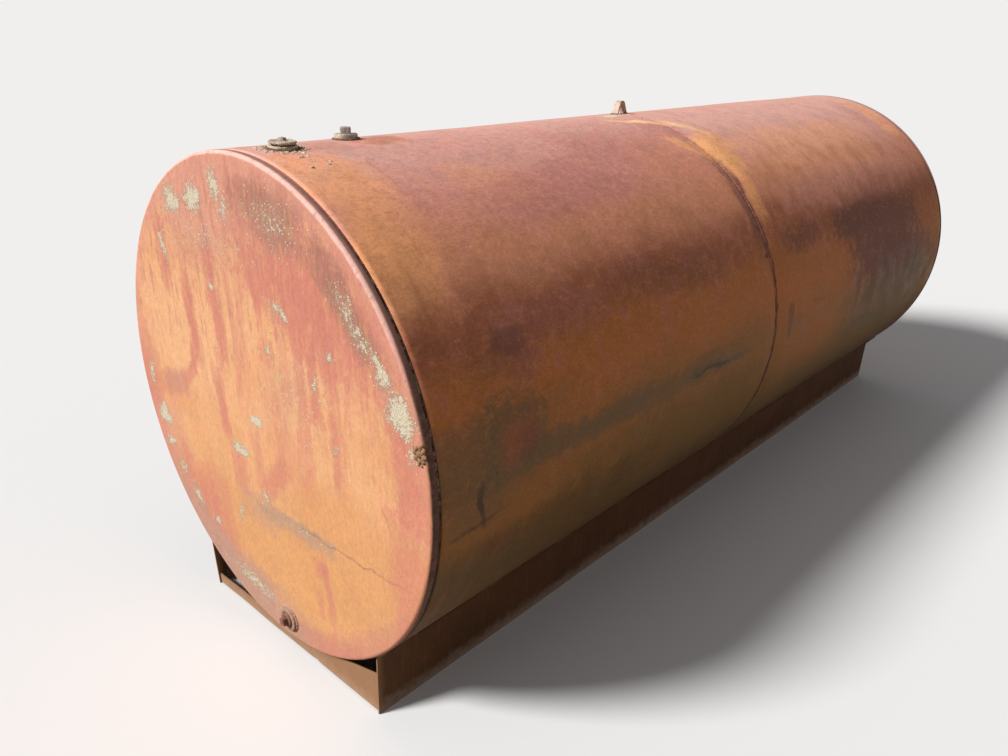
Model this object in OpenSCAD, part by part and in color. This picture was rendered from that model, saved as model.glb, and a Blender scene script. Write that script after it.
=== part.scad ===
// Horizontal steel fuel storage tank on two plate skids.
// Two rolled courses, two flat flanged heads, screwed bungs and a lifting lug.
// +Y runs along the tank away from the drain end, +Z is up, and the origin is
// under the middle of the whole object, on the ground.

/* [Tank] */
// Outside diameter of the shell
shell_d = 1257.3; // [900:0.1:1700]
// Length over both heads
tank_len = 3048; // [2400:1:4200]
// Distance from the drain end to the girth seam
seam_at = 1444; // [1200:1:1800]
// Thickness of the shell plate
shell_t = 3.4; // [2.5:0.1:6]
// Thickness of the head plate
head_t = 3.4; // [2.5:0.1:6]
// Outside radius of the head's knuckle
knuckle_r = 9; // [6:0.5:20]
// Straight flange behind the knuckle
flange_len = 10; // [8:1:30]

/* [Welds] */
// Width of the groove between a head and the shell
head_gap = 7; // [4:0.5:12]
// Depth of the head weld below the shell's surface
head_weld_sink = 1.4; // [0.5:0.1:2]
// Width of the bead over the girth seam
girth_bead_w = 13; // [8:0.5:15]
// Height of the bead over the girth seam
girth_bead_h = 2.4; // [1:0.1:5]
// Root opening between the two courses
root_gap = 2; // [1:0.1:4]
// Width of the bead along a course
long_bead_w = 9; // [6:0.5:18]
// Height of the bead along a course
long_bead_h = 1.6; // [0.8:0.1:4]
// Where the front course's long bead lies round the shell
long_bead_front_angle = 163; // [120:1:230]
// Where the rear course's long bead lies round the shell
long_bead_rear_angle = 197; // [120:1:230]
// Leg of the fillet welds on skids and fittings
fillet_leg = 5; // [3:0.5:8]

/* [Skids] */
// Height of the tank's underside over the ground
belly_gap = 45; // [20:1:120]
// Thickness of the skid plate
skid_t = 4.8; // [3:0.1:10]
// Half distance between the skid webs at their tops
skid_top_x = 392; // [300:1:440]
// Lean of each web towards the middle, in degrees
skid_lean = 3; // [0:0.5:6]
// Bend radius where a web turns out along the shell
skid_bend_r = 20; // [12:1:40]
// Width of the strip that lies along the shell
skid_strip_w = 42; // [25:1:80]
// Set-back of each skid end from the head's face
skid_inset = 14; // [0:1:60]
// Length of one stitch weld on a skid
stitch_len = 70; // [30:1:120]
// Spacing of the stitch welds
stitch_pitch = 290; // [180:1:500]

/* [Cross plates] */
// Thickness of a cross plate
cross_t = 4.8; // [3:0.1:10]
// Set-back of a cross plate from the skid's end
cross_inset = 3; // [1:1:40]
// Height of the raised corner at the right skid
cross_corner_h = 121; // [95:1:135]
// Distance from the middle to the foot of the raised corner
cross_knee_x = 105; // [40:1:180]
// Gap between the cross plate's low edge and the tank
cross_top_gap = 4; // [2:1:12]
// Height of the cross plate at the left skid
cross_left_h = 33; // [20:1:60]
// Gap between a cross plate and the ground
cross_foot_gap = 5; // [2:1:12]

/* [Fill bung] */
// Distance from the drain end to the fill bung
fill_at = 118; // [100:1:230]
// Offset of the fill bung from the top centre line
fill_x = 48; // [-60:1:60]
// Outside diameter of the fill bung
fill_bung_d = 66; // [55:1:90]
// Height of the fill bung over the shell
fill_bung_h = 8; // [6:1:25]
// Bore of the fill bung
fill_bore_d = 44; // [30:1:48]
// Gap left under the fill plug's rim, which is not screwed home
fill_plug_gap = 3; // [1:0.5:8]
// Diameter of the fill plug's rim
fill_plug_d = 62; // [50:1:80]
// Thickness of the fill plug's rim
fill_plug_t = 7; // [4:0.5:14]
// Width across the fill plug's square nub
fill_nub_w = 14; // [10:1:24]
// Height of the fill plug's square nub
fill_nub_h = 6; // [4:1:15]

/* [Vent bung] */
// Distance from the drain end to the vent bung
vent_at = 322; // [280:1:900]
// Offset of the vent bung from the top centre line
vent_x = 0; // [-60:1:60]
// Outside diameter of the vent bung
vent_bung_d = 57; // [45:1:80]
// Height of the vent bung over the shell
vent_bung_h = 13; // [8:1:25]
// Bore of the vent bung
vent_bore_d = 38; // [25:1:40]
// Width across the vent plug's square head
vent_head_w = 25; // [16:1:26]
// Height of the vent plug's square head
vent_head_h = 15; // [8:1:25]
// Turn of the vent plug's square head
vent_head_turn = -38; // [-90:1:90]

/* [Drain bung] */
// Height of the drain bung's edge over the rounded edge under it
drain_edge_gap = 18.6; // [10:0.2:60]
// Offset of the drain bung from the middle of the head
drain_x = 38; // [-60:1:60]
// Outside diameter of the drain bung
drain_bung_d = 68; // [50:1:76]
// Length of the drain bung in front of the head
drain_bung_h = 9; // [5:1:40]
// Bore of the drain bung
drain_bore_d = 42; // [25:1:44]
// Width across the drain plug's square head
drain_head_w = 20; // [14:1:28]
// Length of the drain plug's square head
drain_head_h = 13; // [8:1:25]
// Turn of the drain plug's square head
drain_head_turn = 12; // [-90:1:90]

/* [Lifting lug] */
// Distance from the girth seam to the middle of the lug, which straddles the seam
lug_offset = -11; // [-12:1:12]
// Distance between the lug's feet, over their outsides
lug_foot_len = 56; // [52:1:160]
// Length of the lug's top
lug_top_len = 24; // [22:1:100]
// Height of the lug over the shell
lug_h = 42; // [35:1:110]
// Width of the lug's bar across the tank
lug_bar_w = 24; // [15:1:60]
// Thickness of the lug's bar
lug_bar_t = 8; // [5:0.5:16]
// Bend radius of the lug's bar, at mid thickness
lug_bend_r = 7; // [6:0.5:20]

/* [Hidden] */
$fn = 180;

// Clearances
seat_gap = 0.1;
bung_gap = 0.2;
thread_gap = 0.3;
cut_over = 2;

// Tank
shell_r = shell_d / 2;
axis_z = shell_r + belly_gap;
head_depth = knuckle_r + flange_len;
course_start = head_depth + head_gap;
front_course_end = seam_at - root_gap / 2;
rear_course_start = seam_at + root_gap / 2;
rear_course_end = tank_len - course_start;

// Lifting lug, the mid line of its bar
lug_at = seam_at + lug_offset;
lug_mid_foot = (lug_foot_len - lug_bar_t) / 2;
lug_mid_top = (lug_top_len - lug_bar_t) / 2;
lug_mid_z = lug_h - lug_bar_t / 2;
lug_lean = atan((lug_mid_foot - lug_mid_top) / lug_mid_z);

// Plug collars sit on the ends of their bungs
collar_t = 4;
bung_inside = 14;
weld_depth = shell_t + 1;
weld_shoulder = 0.4;
drain_drop = shell_r - knuckle_r - drain_edge_gap - drain_bung_d / 2;
drain_reach = drain_bung_h + collar_t + drain_head_h;
front_y = -(tank_len - drain_reach) / 2;

// Skids, in the plane across the tank with the tank's axis at 0, 0
skid_mid_r = shell_r + seat_gap + skid_t / 2;
bend_cx = skid_top_x + skid_bend_r;
bend_cz = -sqrt(pow(skid_mid_r + skid_bend_r, 2) - pow(bend_cx, 2));
strip_start_angle = atan2(bend_cz, bend_cx);
strip_end_angle = strip_start_angle + skid_strip_w / skid_mid_r * 180 / PI;
skid_start = skid_inset;
skid_len = tank_len - 2 * skid_inset;
bend_steps = 10;
strip_steps = 6;
bead_steps = 8;
cross_start = skid_start + cross_inset;

paint = [0.72, 0.42, 0.24];
head_paint = [0.88, 0.58, 0.40];
skid_paint = [0.45, 0.24, 0.18];
weld_grey = [0.36, 0.24, 0.22];
bare_iron = [0.50, 0.44, 0.38];

function polar(r, a) = [r * cos(a), r * sin(a)];
// Outside radius of the weld round a bung
function weld_r(d) = d / 2 + fillet_leg;

// One side of the skid's bent plate: side is the distance outwards from its mid line
function web_x(side, z) = let (wx = bend_cx - (skid_bend_r - side) * cos(skid_lean),
                               wz = bend_cz + (skid_bend_r - side) * sin(skid_lean))
    wx - (wz - z) * tan(skid_lean);
function skid_side(side) = concat(
    [[web_x(side, -axis_z), -axis_z]],
    [for (i = [0:bend_steps])
        let (a = 180 - skid_lean + i / bend_steps * (strip_start_angle + skid_lean))
        [bend_cx, bend_cz] + polar(skid_bend_r - side, a)],
    [for (i = [1:strip_steps])
        let (a = strip_start_angle + i / strip_steps * (strip_end_angle - strip_start_angle))
        polar(skid_mid_r + side, a)]);
function reversed(list) = [for (i = [len(list) - 1:-1:0]) list[i]];

// A low weld bead: a flat base of width w and a crown of height h
function bead(w, h) = [for (i = [0:bead_steps])
    [(i / bead_steps - 0.5) * w, h * sin(180 * i / bead_steps)]];
// The weld metal between two plates of thickness t, below a bead
function root(gap, t) = [[gap / 2, 0], [gap / 2, -t], [-gap / 2, -t], [-gap / 2, 0]];

// Moves to a distance from the drain end, on the tank's axis
module along(s) { translate([0, front_y + s, axis_z]) children(); }
// Turns a shape that stands on XY so that it runs along the tank
module lying() { rotate([-90, 0, 0]) children(); }
// Turns a shape drawn across the tank so that it runs along the tank
module across(len) { translate([0, len, 0]) rotate([90, 0, 0]) linear_extrude(len) children(); }

module ring(r_out, r_in, len) {
    difference() {
        cylinder(r = r_out, h = len);
        translate([0, 0, -cut_over]) cylinder(r = r_in, h = len + 2 * cut_over);
    }
}

module course(s0, s1) {
    along(s0) lying() ring(shell_r, shell_r - shell_t, s1 - s0);
}

// Stands a shape square on the shell near its top, x to the side of the top line
module on_top(s, x) {
    along(s) rotate([0, asin(x / shell_r), 0]) translate([0, 0, shell_r]) children();
}

module shell_course_front() {
    color(paint) difference() {
        course(course_start, front_course_end);
        on_top(fill_at, fill_x) bung_hole(fill_bung_d);
        on_top(vent_at, vent_x) bung_hole(vent_bung_d);
    }
}

module bung_hole(d) {
    translate([0, 0, -bung_inside]) cylinder(r = weld_r(d) + bung_gap, h = bung_inside + d / 2);
}

module shell_course_rear() {
    color(paint) course(rear_course_start, rear_course_end);
}

// Section of a flat flanged head, its face at height 0
module head_section() {
    difference() {
        union() {
            square([shell_r - knuckle_r, knuckle_r]);
            translate([0, knuckle_r]) square([shell_r, flange_len]);
            translate([shell_r - knuckle_r, knuckle_r]) intersection() {
                circle(r = knuckle_r);
                translate([0, -knuckle_r]) square(knuckle_r);
            }
        }
        translate([0, head_t]) square([shell_r - knuckle_r, head_depth]);
        translate([0, knuckle_r]) square([shell_r - head_t, head_depth]);
        translate([shell_r - knuckle_r, knuckle_r]) circle(r = knuckle_r - head_t);
    }
}

module head_body() { lying() rotate_extrude() head_section(); }

module head_front() {
    color(head_paint) difference() {
        along(0) head_body();
        along(-cut_over) translate([drain_x, 0, -drain_drop]) lying()
            cylinder(d = drain_bung_d + 2 * bung_gap, h = head_t + 2 * cut_over);
    }
}

module head_rear() {
    color(head_paint) along(tank_len) mirror([0, 1, 0]) head_body();
}

// The weld in the groove between a head's flange and the shell
module groove_weld() {
    color(weld_grey) lying()
        ring(shell_r - head_weld_sink, shell_r - max(head_t, shell_t), head_gap);
}

module head_weld_front() { along(head_depth) groove_weld(); }

module head_weld_rear() { along(tank_len - course_start) groove_weld(); }

module girth_weld() {
    color(weld_grey) along(seam_at) lying() rotate_extrude()
        translate([shell_r, 0]) rotate(-90)
            polygon(concat(bead(girth_bead_w, girth_bead_h), root(root_gap, shell_t)));
}

module long_weld(s0, s1, angle) {
    color(weld_grey) along(s0) across(s1 - s0)
        rotate(angle) translate([shell_r + seat_gap, 0]) rotate(-90)
            polygon(bead(long_bead_w, long_bead_h));
}

module long_weld_front() {
    long_weld(course_start, seam_at - girth_bead_w / 2, long_bead_front_angle);
}

module long_weld_rear() {
    long_weld(seam_at + girth_bead_w / 2, rear_course_end, long_bead_rear_angle);
}

module skid() {
    color(skid_paint) along(skid_start) across(skid_len)
        polygon(concat(skid_side(skid_t / 2), reversed(skid_side(-skid_t / 2))));
}

module skid_right() { skid(); }

module skid_left() { mirror([1, 0, 0]) skid(); }

// Stitch welds where the skid's strip ends on the shell
module skid_welds() {
    count = floor((skid_len - stitch_len) / stitch_pitch) + 1;
    first = skid_start + (skid_len - (count - 1) * stitch_pitch - stitch_len) / 2;
    leg_angle = fillet_leg / shell_r * 180 / PI;
    toe = polar(shell_r + seat_gap, strip_end_angle + leg_angle);
    color(weld_grey) for (i = [0:count - 1])
        along(first + i * stitch_pitch) across(stitch_len) polygon([
            polar(shell_r + seat_gap, strip_end_angle),
            polar(shell_r + seat_gap + min(skid_t, fillet_leg), strip_end_angle),
            toe]);
}

module skid_weld_right() { skid_welds(); }

module skid_weld_left() { mirror([1, 0, 0]) skid_welds(); }

// The plate between the webs, with one raised corner against the right skid
module cross_plate() {
    foot_z = cross_foot_gap - axis_z;
    corner_z = cross_corner_h - axis_z;
    knee_z = belly_gap - cross_top_gap - axis_z;
    left_z = cross_left_h - axis_z;
    color(skid_paint) across(cross_t) polygon([
        [-web_x(-skid_t / 2, foot_z) + seat_gap, foot_z],
        [web_x(-skid_t / 2, foot_z) - seat_gap, foot_z],
        [web_x(-skid_t / 2, corner_z) - seat_gap, corner_z],
        [cross_knee_x, knee_z],
        [-web_x(-skid_t / 2, left_z) + seat_gap, left_z]]);
}

// The upright fillets where a cross plate meets the webs, behind the plate
module cross_welds() {
    foot_z = cross_foot_gap - axis_z;
    color(weld_grey) {
        upright_fillet(foot_z, cross_corner_h - axis_z);
        mirror([1, 0, 0]) upright_fillet(foot_z, cross_left_h - axis_z);
    }
}

module upright_fillet(z0, z1) {
    turn = skid_lean;
    translate([web_x(-skid_t / 2, z0) - seat_gap, 0, z0]) rotate([0, turn, 0])
        linear_extrude((z1 - z0) / cos(turn) - fillet_leg)
            polygon([[0, 0], [-fillet_leg, 0], [0, fillet_leg]]);
}

module cross_plate_front() { along(cross_start) cross_plate(); }

module cross_plate_rear() { along(tank_len - cross_start) mirror([0, 1, 0]) cross_plate(); }

module cross_weld_front() { along(cross_start + cross_t) cross_welds(); }

module cross_weld_rear() {
    along(tank_len - cross_start - cross_t) mirror([0, 1, 0]) cross_welds();
}

// A round bung with a through bore, its seat on the plate at height 0
module bung(d, bore, h) {
    color(bare_iron) translate([0, 0, -bung_inside]) ring(d / 2, bore / 2, bung_inside + h);
}

// A screwed plug: shank in the bore, and a collar of its own on the bung
module plug_shank(bore, h) {
    translate([0, 0, -bung_inside]) cylinder(d = bore - 2 * thread_gap, h = bung_inside + h);
}

module square_head(w, h, turn) {
    rotate(turn) translate([-w / 2, -w / 2, 0]) cube([w, w, h]);
}

// The weld round a bung, from the inside of the shell up to a fillet on top
module bung_weld(s, x, d) {
    color(weld_grey) on_top(s, x) rotate_extrude() polygon([
        [d / 2 + seat_gap, -weld_depth], [weld_r(d), -weld_depth],
        [weld_r(d), weld_shoulder], [d / 2 + seat_gap, fillet_leg]]);
}

module fill_bung() { on_top(fill_at, fill_x) bung(fill_bung_d, fill_bore_d, fill_bung_h); }

module fill_plug() {
    rim_z = fill_bung_h + fill_plug_gap;
    color(bare_iron) on_top(fill_at, fill_x) {
        plug_shank(fill_bore_d, rim_z);
        translate([0, 0, rim_z]) cylinder(d = fill_plug_d, h = fill_plug_t);
        translate([0, 0, rim_z + fill_plug_t]) square_head(fill_nub_w, fill_nub_h, 20);
    }
}

module fill_bung_weld() { bung_weld(fill_at, fill_x, fill_bung_d); }

module vent_bung() { on_top(vent_at, vent_x) bung(vent_bung_d, vent_bore_d, vent_bung_h); }

module vent_plug() {
    color(bare_iron) on_top(vent_at, vent_x) {
        plug_shank(vent_bore_d, vent_bung_h);
        translate([0, 0, vent_bung_h]) square_head(vent_head_w, vent_head_h, vent_head_turn);
    }
}

module vent_bung_weld() { bung_weld(vent_at, vent_x, vent_bung_d); }

// Sets a shape on the head's face, pointing out of the drain end
module on_head() {
    along(0) translate([drain_x, 0, -drain_drop]) rotate([90, 0, 0]) children();
}

module drain_bung() { on_head() bung(drain_bung_d, drain_bore_d, drain_bung_h); }

module drain_plug() {
    color(bare_iron) on_head() {
        plug_shank(drain_bore_d, drain_bung_h + collar_t);
        translate([0, 0, drain_bung_h + collar_t])
            square_head(drain_head_w, drain_head_h, drain_head_turn);
    }
}

module drain_bung_weld() {
    color(weld_grey) on_head() rotate_extrude() polygon([
        [drain_bung_d / 2 + seat_gap, 0], [drain_bung_d / 2 + fillet_leg, 0],
        [drain_bung_d / 2 + seat_gap, fillet_leg]]);
}

// One side of the lug's bent bar, in the plane along the tank, from a foot to the top
function lug_half(side) =
    let (turn = 90 - lug_lean,
         centre = [lug_mid_top - lug_bend_r * tan(turn / 2), lug_mid_z - lug_bend_r],
         start = centre + polar(lug_bend_r + side, lug_lean))
    concat([[start[0] + (start[1] - seat_gap) * tan(lug_lean), seat_gap]],
           [for (i = [0:bend_steps])
               centre + polar(lug_bend_r + side, lug_lean + turn * i / bend_steps)]);
function lug_side(side) = concat(lug_half(side), [for (p = reversed(lug_half(side))) [-p[0], p[1]]]);

// Stands a shape drawn along the tank on the top line, as wide as the lug's bar
module lug_part() {
    on_top(lug_at, 0) translate([lug_bar_w / 2, 0, 0]) rotate([90, 0, -90])
        linear_extrude(lug_bar_w) children();
}

module lifting_lug() {
    color(bare_iron) lug_part()
        polygon(concat(lug_side(lug_bar_t / 2), reversed(lug_side(-lug_bar_t / 2))));
}

// A fillet on the outside of each of the lug's feet
module lug_weld() {
    toe = lug_half(lug_bar_t / 2)[0] + [seat_gap, 0];
    color(weld_grey) lug_part() for (dir = [0, 1]) mirror([dir, 0]) polygon([
        toe, toe + [fillet_leg, 0], toe + [-fillet_leg * tan(lug_lean), fillet_leg]]);
}

shell_course_front();
shell_course_rear();
head_front();
head_rear();
head_weld_front();
head_weld_rear();
girth_weld();
long_weld_front();
long_weld_rear();
skid_left();
skid_right();
skid_weld_left();
skid_weld_right();
cross_plate_front();
cross_plate_rear();
cross_weld_front();
cross_weld_rear();
fill_bung();
fill_plug();
fill_bung_weld();
vent_bung();
vent_plug();
vent_bung_weld();
drain_bung();
drain_plug();
drain_bung_weld();
lifting_lug();
lug_weld();
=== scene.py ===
"""A weathered steel fuel tank on skids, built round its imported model."""
import math
from functools import cache

import bmesh
import bpy
import numpy as np
from bpy.props import FloatProperty, FloatVectorProperty, IntProperty, PointerProperty
from bpy.types import Operator, Panel, PropertyGroup
from mathutils import Matrix, Vector, noise


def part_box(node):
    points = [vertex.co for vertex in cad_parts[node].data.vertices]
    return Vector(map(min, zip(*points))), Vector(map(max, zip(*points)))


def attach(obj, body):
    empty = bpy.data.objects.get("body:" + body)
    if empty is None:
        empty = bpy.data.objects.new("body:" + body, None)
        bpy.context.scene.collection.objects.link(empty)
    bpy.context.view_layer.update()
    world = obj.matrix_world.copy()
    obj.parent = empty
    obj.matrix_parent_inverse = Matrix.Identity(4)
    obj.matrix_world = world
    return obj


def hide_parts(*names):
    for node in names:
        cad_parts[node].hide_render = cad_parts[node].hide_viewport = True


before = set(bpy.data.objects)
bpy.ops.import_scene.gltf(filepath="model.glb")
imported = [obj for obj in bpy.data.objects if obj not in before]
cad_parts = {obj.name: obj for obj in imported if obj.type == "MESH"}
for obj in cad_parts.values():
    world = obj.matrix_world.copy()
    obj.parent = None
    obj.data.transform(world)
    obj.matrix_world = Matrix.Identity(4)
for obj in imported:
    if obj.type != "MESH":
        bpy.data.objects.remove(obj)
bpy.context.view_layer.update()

bl_info = {
    "name": "Skid Tank",
    "version": (1, 0, 0),
    "blender": (4, 5, 0),
    "location": "View3D > Sidebar > Tank",
    "description": "Dresses a horizontal storage tank with dents, welds, worn primer and lichen",
    "category": "Object",
}

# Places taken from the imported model, in metres
SHELL_LOW, SHELL_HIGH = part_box("shell_course_rear")
RADIUS = (SHELL_HIGH.z - SHELL_LOW.z) / 2
AXIS_Z = (SHELL_HIGH.z + SHELL_LOW.z) / 2
FRONT_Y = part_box("head_front")[0].y
REAR_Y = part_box("head_rear")[1].y
HEAD_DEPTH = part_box("head_front")[1].y - FRONT_Y
SEAM_Y = sum(corner.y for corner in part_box("girth_weld")) / 2
ON_TANK = "root"

# Skids and cross plates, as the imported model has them, in metres
HALF_PLATE = 0.0024
SKID_LEAN = math.radians(3.0)
SKID_BEND = 0.020
SKID_TOP_X = 0.392
SKID_STRIP = 0.042
SKID_SEAT = 0.0001
WEB_X = 0.3826
CROSS_KNEE = (0.105, 0.041)
CROSS_LEFT_TOP = 0.033

# Weld beads: width and height
GIRTH_BEAD = (0.0110, 0.0030)
GROOVE_BEAD = (0.0076, 0.0040)
LONG_BEAD = (0.0090, 0.0040)
STITCH_BEAD = (0.0068, 0.0056)
CROSS_BEAD = (0.0070, 0.0060)
RING_BEAD = (0.0080, 0.0056)
LUG_BEAD = (0.0068, 0.0052)
RIPPLE_STRETCH = 2.2
RIPPLE_CHANCE = 0.12

# Rise of the girth bead, depth of a head weld behind its face, how far round from the top
# the waist begins, and the rounding of a flange's edge
SEAM_LIFT = 0.0002
GROOVE_DEPTH = HEAD_DEPTH + 0.0035
WAIST_CLEAR = math.radians(22.0)
HEAD_LIP = 0.0006

# How finely pieces are cut
HEAD_SPOKES = 384
HEAD_RINGS = 96
COURSE_ROW = 0.013
SKID_ROWS = 110
CROSS_COLUMNS = 64
RING_STEPS = 48
BAR_SIDES = 24

# Stage: the camera as solved from the photograph's outline, with yaw, pitch and roll in degrees
PHOTO_WIDTH = 1008.0
CAMERA_FOCAL = 801.48
CAMERA_ANGLES = (-43.281, -22.107, 0.187)
CAMERA_PLACE = Vector((1.6367, FRONT_Y - 0.8682, AXIS_Z + 0.8191))
TO_KEY_LIGHT = Vector((-0.338, -0.682, 0.649))
FLOOR_HALF = 60.0

# How far a mark's edge fades to each side of its outline, for a softness of one
MARK_EDGE = 0.9


def middle(node):
    """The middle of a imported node's box"""
    low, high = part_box(node)
    return (low + high) / 2


def colour_property(label, words, default):
    """A linear colour that the user may change"""
    return FloatVectorProperty(
        name=label, description=words, subtype="COLOR", size=3, min=0.0, max=1.0, default=default)


def length_property(label, words, default):
    """A length in metres that the user may change"""
    return FloatProperty(
        name=label, description=words, default=default, min=0.0, precision=4, subtype="DISTANCE")


class TankSizes(PropertyGroup):
    """Sizes of the dents, beads and growth"""
    plate: length_property("Plate", "Thickness of the shell and head plate", 0.0034)
    knuckle: length_property("Knuckle", "Outside radius of a head's rounded edge", 0.009)
    waviness: length_property("Waviness", "How far the shell's plate wanders inwards", 0.0026)
    waist: length_property("Waist", "How far the girth seam draws the shell in", 0.0042)
    oilcan: length_property("Oil-canning", "How far a flat head's plate wanders", 0.0032)
    ripple: length_property("Weld ripple", "Pitch of the ripples on a weld bead", 0.0042)
    skid_bow: length_property("Skid bow", "How far a skid's web bows along its length", 0.0026)
    lichen_size: length_property("Lichen size", "Width of a common lichen rosette", 0.0044)
    leaf: length_property("Leaf size", "Length of a leaf scrap on the tank's top", 0.012)
    columns: IntProperty(
        name="Columns", description="Faces round the shell", default=288, min=48, max=720)
    steps: IntProperty(
        name="Lathe steps", description="Faces round a bung", default=64, min=24, max=256)


class TankColours(PropertyGroup):
    """Linear colours of paint, rust and growth"""
    orange: colour_property("Orange", "Sound orange primer on the heads", (0.72, 0.355, 0.175))
    peach: colour_property("Peach", "Chalked primer on the heads", (0.80, 0.455, 0.245))
    amber: colour_property("Amber", "Deeper primer low on the heads", (0.68, 0.345, 0.145))
    blush: colour_property("Blush", "Pink primer round the heads' upper edges", (0.66, 0.305, 0.24))
    smear: colour_property("Smear", "Grey smear on the drain end", (0.42, 0.285, 0.205))
    straw: colour_property("Straw", "The palest streaks by the seam", (1.0, 0.60, 0.34))
    rose: colour_property("Rose", "Primer gone pink in streaks", (0.59, 0.215, 0.165))
    stain: colour_property("Stain", "Brown rust stain on the heads", (0.34, 0.165, 0.125))
    ash: colour_property("Ash", "Grey-mauve bloom low on the heads", (0.48, 0.275, 0.215))
    # On the upper rim this is partly rubbed paint and partly a painted highlight on the knuckle
    rim: colour_property("Rim", "Rubbed paint along the rounded edge", (0.82, 0.52, 0.47))
    flange: colour_property("Flange", "Shaded paint on the heads' flanges", (0.40, 0.20, 0.165))
    # Salmon and dusk are partly chalked primer and partly painted sky sheen on the shell's top and
    # shoulder
    salmon: colour_property("Salmon", "Chalked primer on top of the shell", (0.75, 0.425, 0.375))
    dusk: colour_property("Dusk", "Pink-brown primer on the shell's shoulder", (0.76, 0.345, 0.29))
    mauve: colour_property("Mauve", "Purple-brown rust bloom", (0.52, 0.205, 0.185))
    ochre: colour_property("Ochre", "Thin yellow-brown primer", (0.68, 0.28, 0.165))
    gold: colour_property("Gold", "Bright patches by the seam and the drain end", (0.93, 0.42, 0.18))
    # In the shell's ramp, its band round the side is painted shade along the terminator; elsewhere it is
    # rust
    umber: colour_property("Umber", "Red-brown rust on the shell's side", (0.46, 0.158, 0.082))
    tawny: colour_property("Tawny", "Orange-brown primer on the shell's side", (0.64, 0.225, 0.066))
    purple: colour_property("Purple", "Dark purple rust", (0.23, 0.095, 0.075))
    khaki: colour_property("Khaki", "Thin brown film low on the shell", (0.43, 0.188, 0.058))
    # Olive and belly, low on the shell, are partly dirt and partly painted shade
    olive: colour_property("Olive", "Green-brown dirt low on the shell", (0.240, 0.135, 0.040))
    slate: colour_property("Slate", "Grey worn streaks", (0.195, 0.140, 0.080))
    # Also used as painted shade on the heads' flanges and in the head welds' groove
    soot: colour_property("Soot", "Scratches and the darkest dirt", (0.055, 0.032, 0.024))
    # Partly dirt and partly painted shade on the underside
    belly: colour_property("Belly", "Dark brown underside", (0.145, 0.078, 0.026))
    lichen: colour_property("Lichen", "Pale grey-green lichen", (0.72, 0.70, 0.57))
    moss: colour_property("Moss", "Darker grains between the lichen", (0.50, 0.44, 0.32))
    rust: colour_property("Rust", "Common brown rust", (0.22, 0.085, 0.045))
    # Also used as painted shade on the heads' flanges and in the head welds' groove
    bead: colour_property("Bead", "Weld metal under old paint", (0.19, 0.09, 0.065))
    # Darkened as painted shade, over the primer's own red-brown
    skid: colour_property("Skid", "Primer on the skids", (0.125, 0.058, 0.025))
    # On the skids' front ends and the front cross plate this pale tone is painted light; in the mud it is
    # the mud's own light tone
    tan: colour_property("Tan", "Bleached primer on the skids' ends", (0.40, 0.225, 0.125))
    cream: colour_property("Cream", "Crust on the bungs", (0.76, 0.65, 0.52))
    # Partly a painted highlight on the girth waist's far side
    honey: colour_property("Honey", "Yellow dust beside the girth seam", (1.0, 0.50, 0.195))
    pewter: colour_property("Pewter", "Grey iron of the vent", (0.33, 0.29, 0.28))
    dust: colour_property("Dust", "Pale dust on the vent", (0.60, 0.52, 0.44))
    iron: colour_property("Iron", "Weathered cast iron", (0.38, 0.29, 0.235))
    lug: colour_property("Lug", "Dull primer on the lifting lug", (0.47, 0.335, 0.30))
    leaf: colour_property("Leaf", "Dry leaf scraps and dirt", (0.60, 0.45, 0.36))
    mud: colour_property("Mud", "Dried mud on the rim", (0.37, 0.235, 0.145))
    floor: colour_property("Floor", "Studio floor as the camera sees it", (0.745, 0.762, 0.795))
    ground: colour_property("Ground", "Studio floor as it lights the tank", (0.20, 0.165, 0.12))


class TankLight(PropertyGroup):
    """Strengths of the studio lights"""
    key: FloatProperty(name="Key", description="Strength of the key light", default=4.45, min=0.0)
    fill: FloatProperty(name="Fill", description="Strength of the soft sky", default=0.25, min=0.0)
    softness: FloatProperty(
        name="Softness", description="Angle of the key light", default=math.radians(14),
        min=0.0, max=math.pi, subtype="ANGLE")


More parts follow.
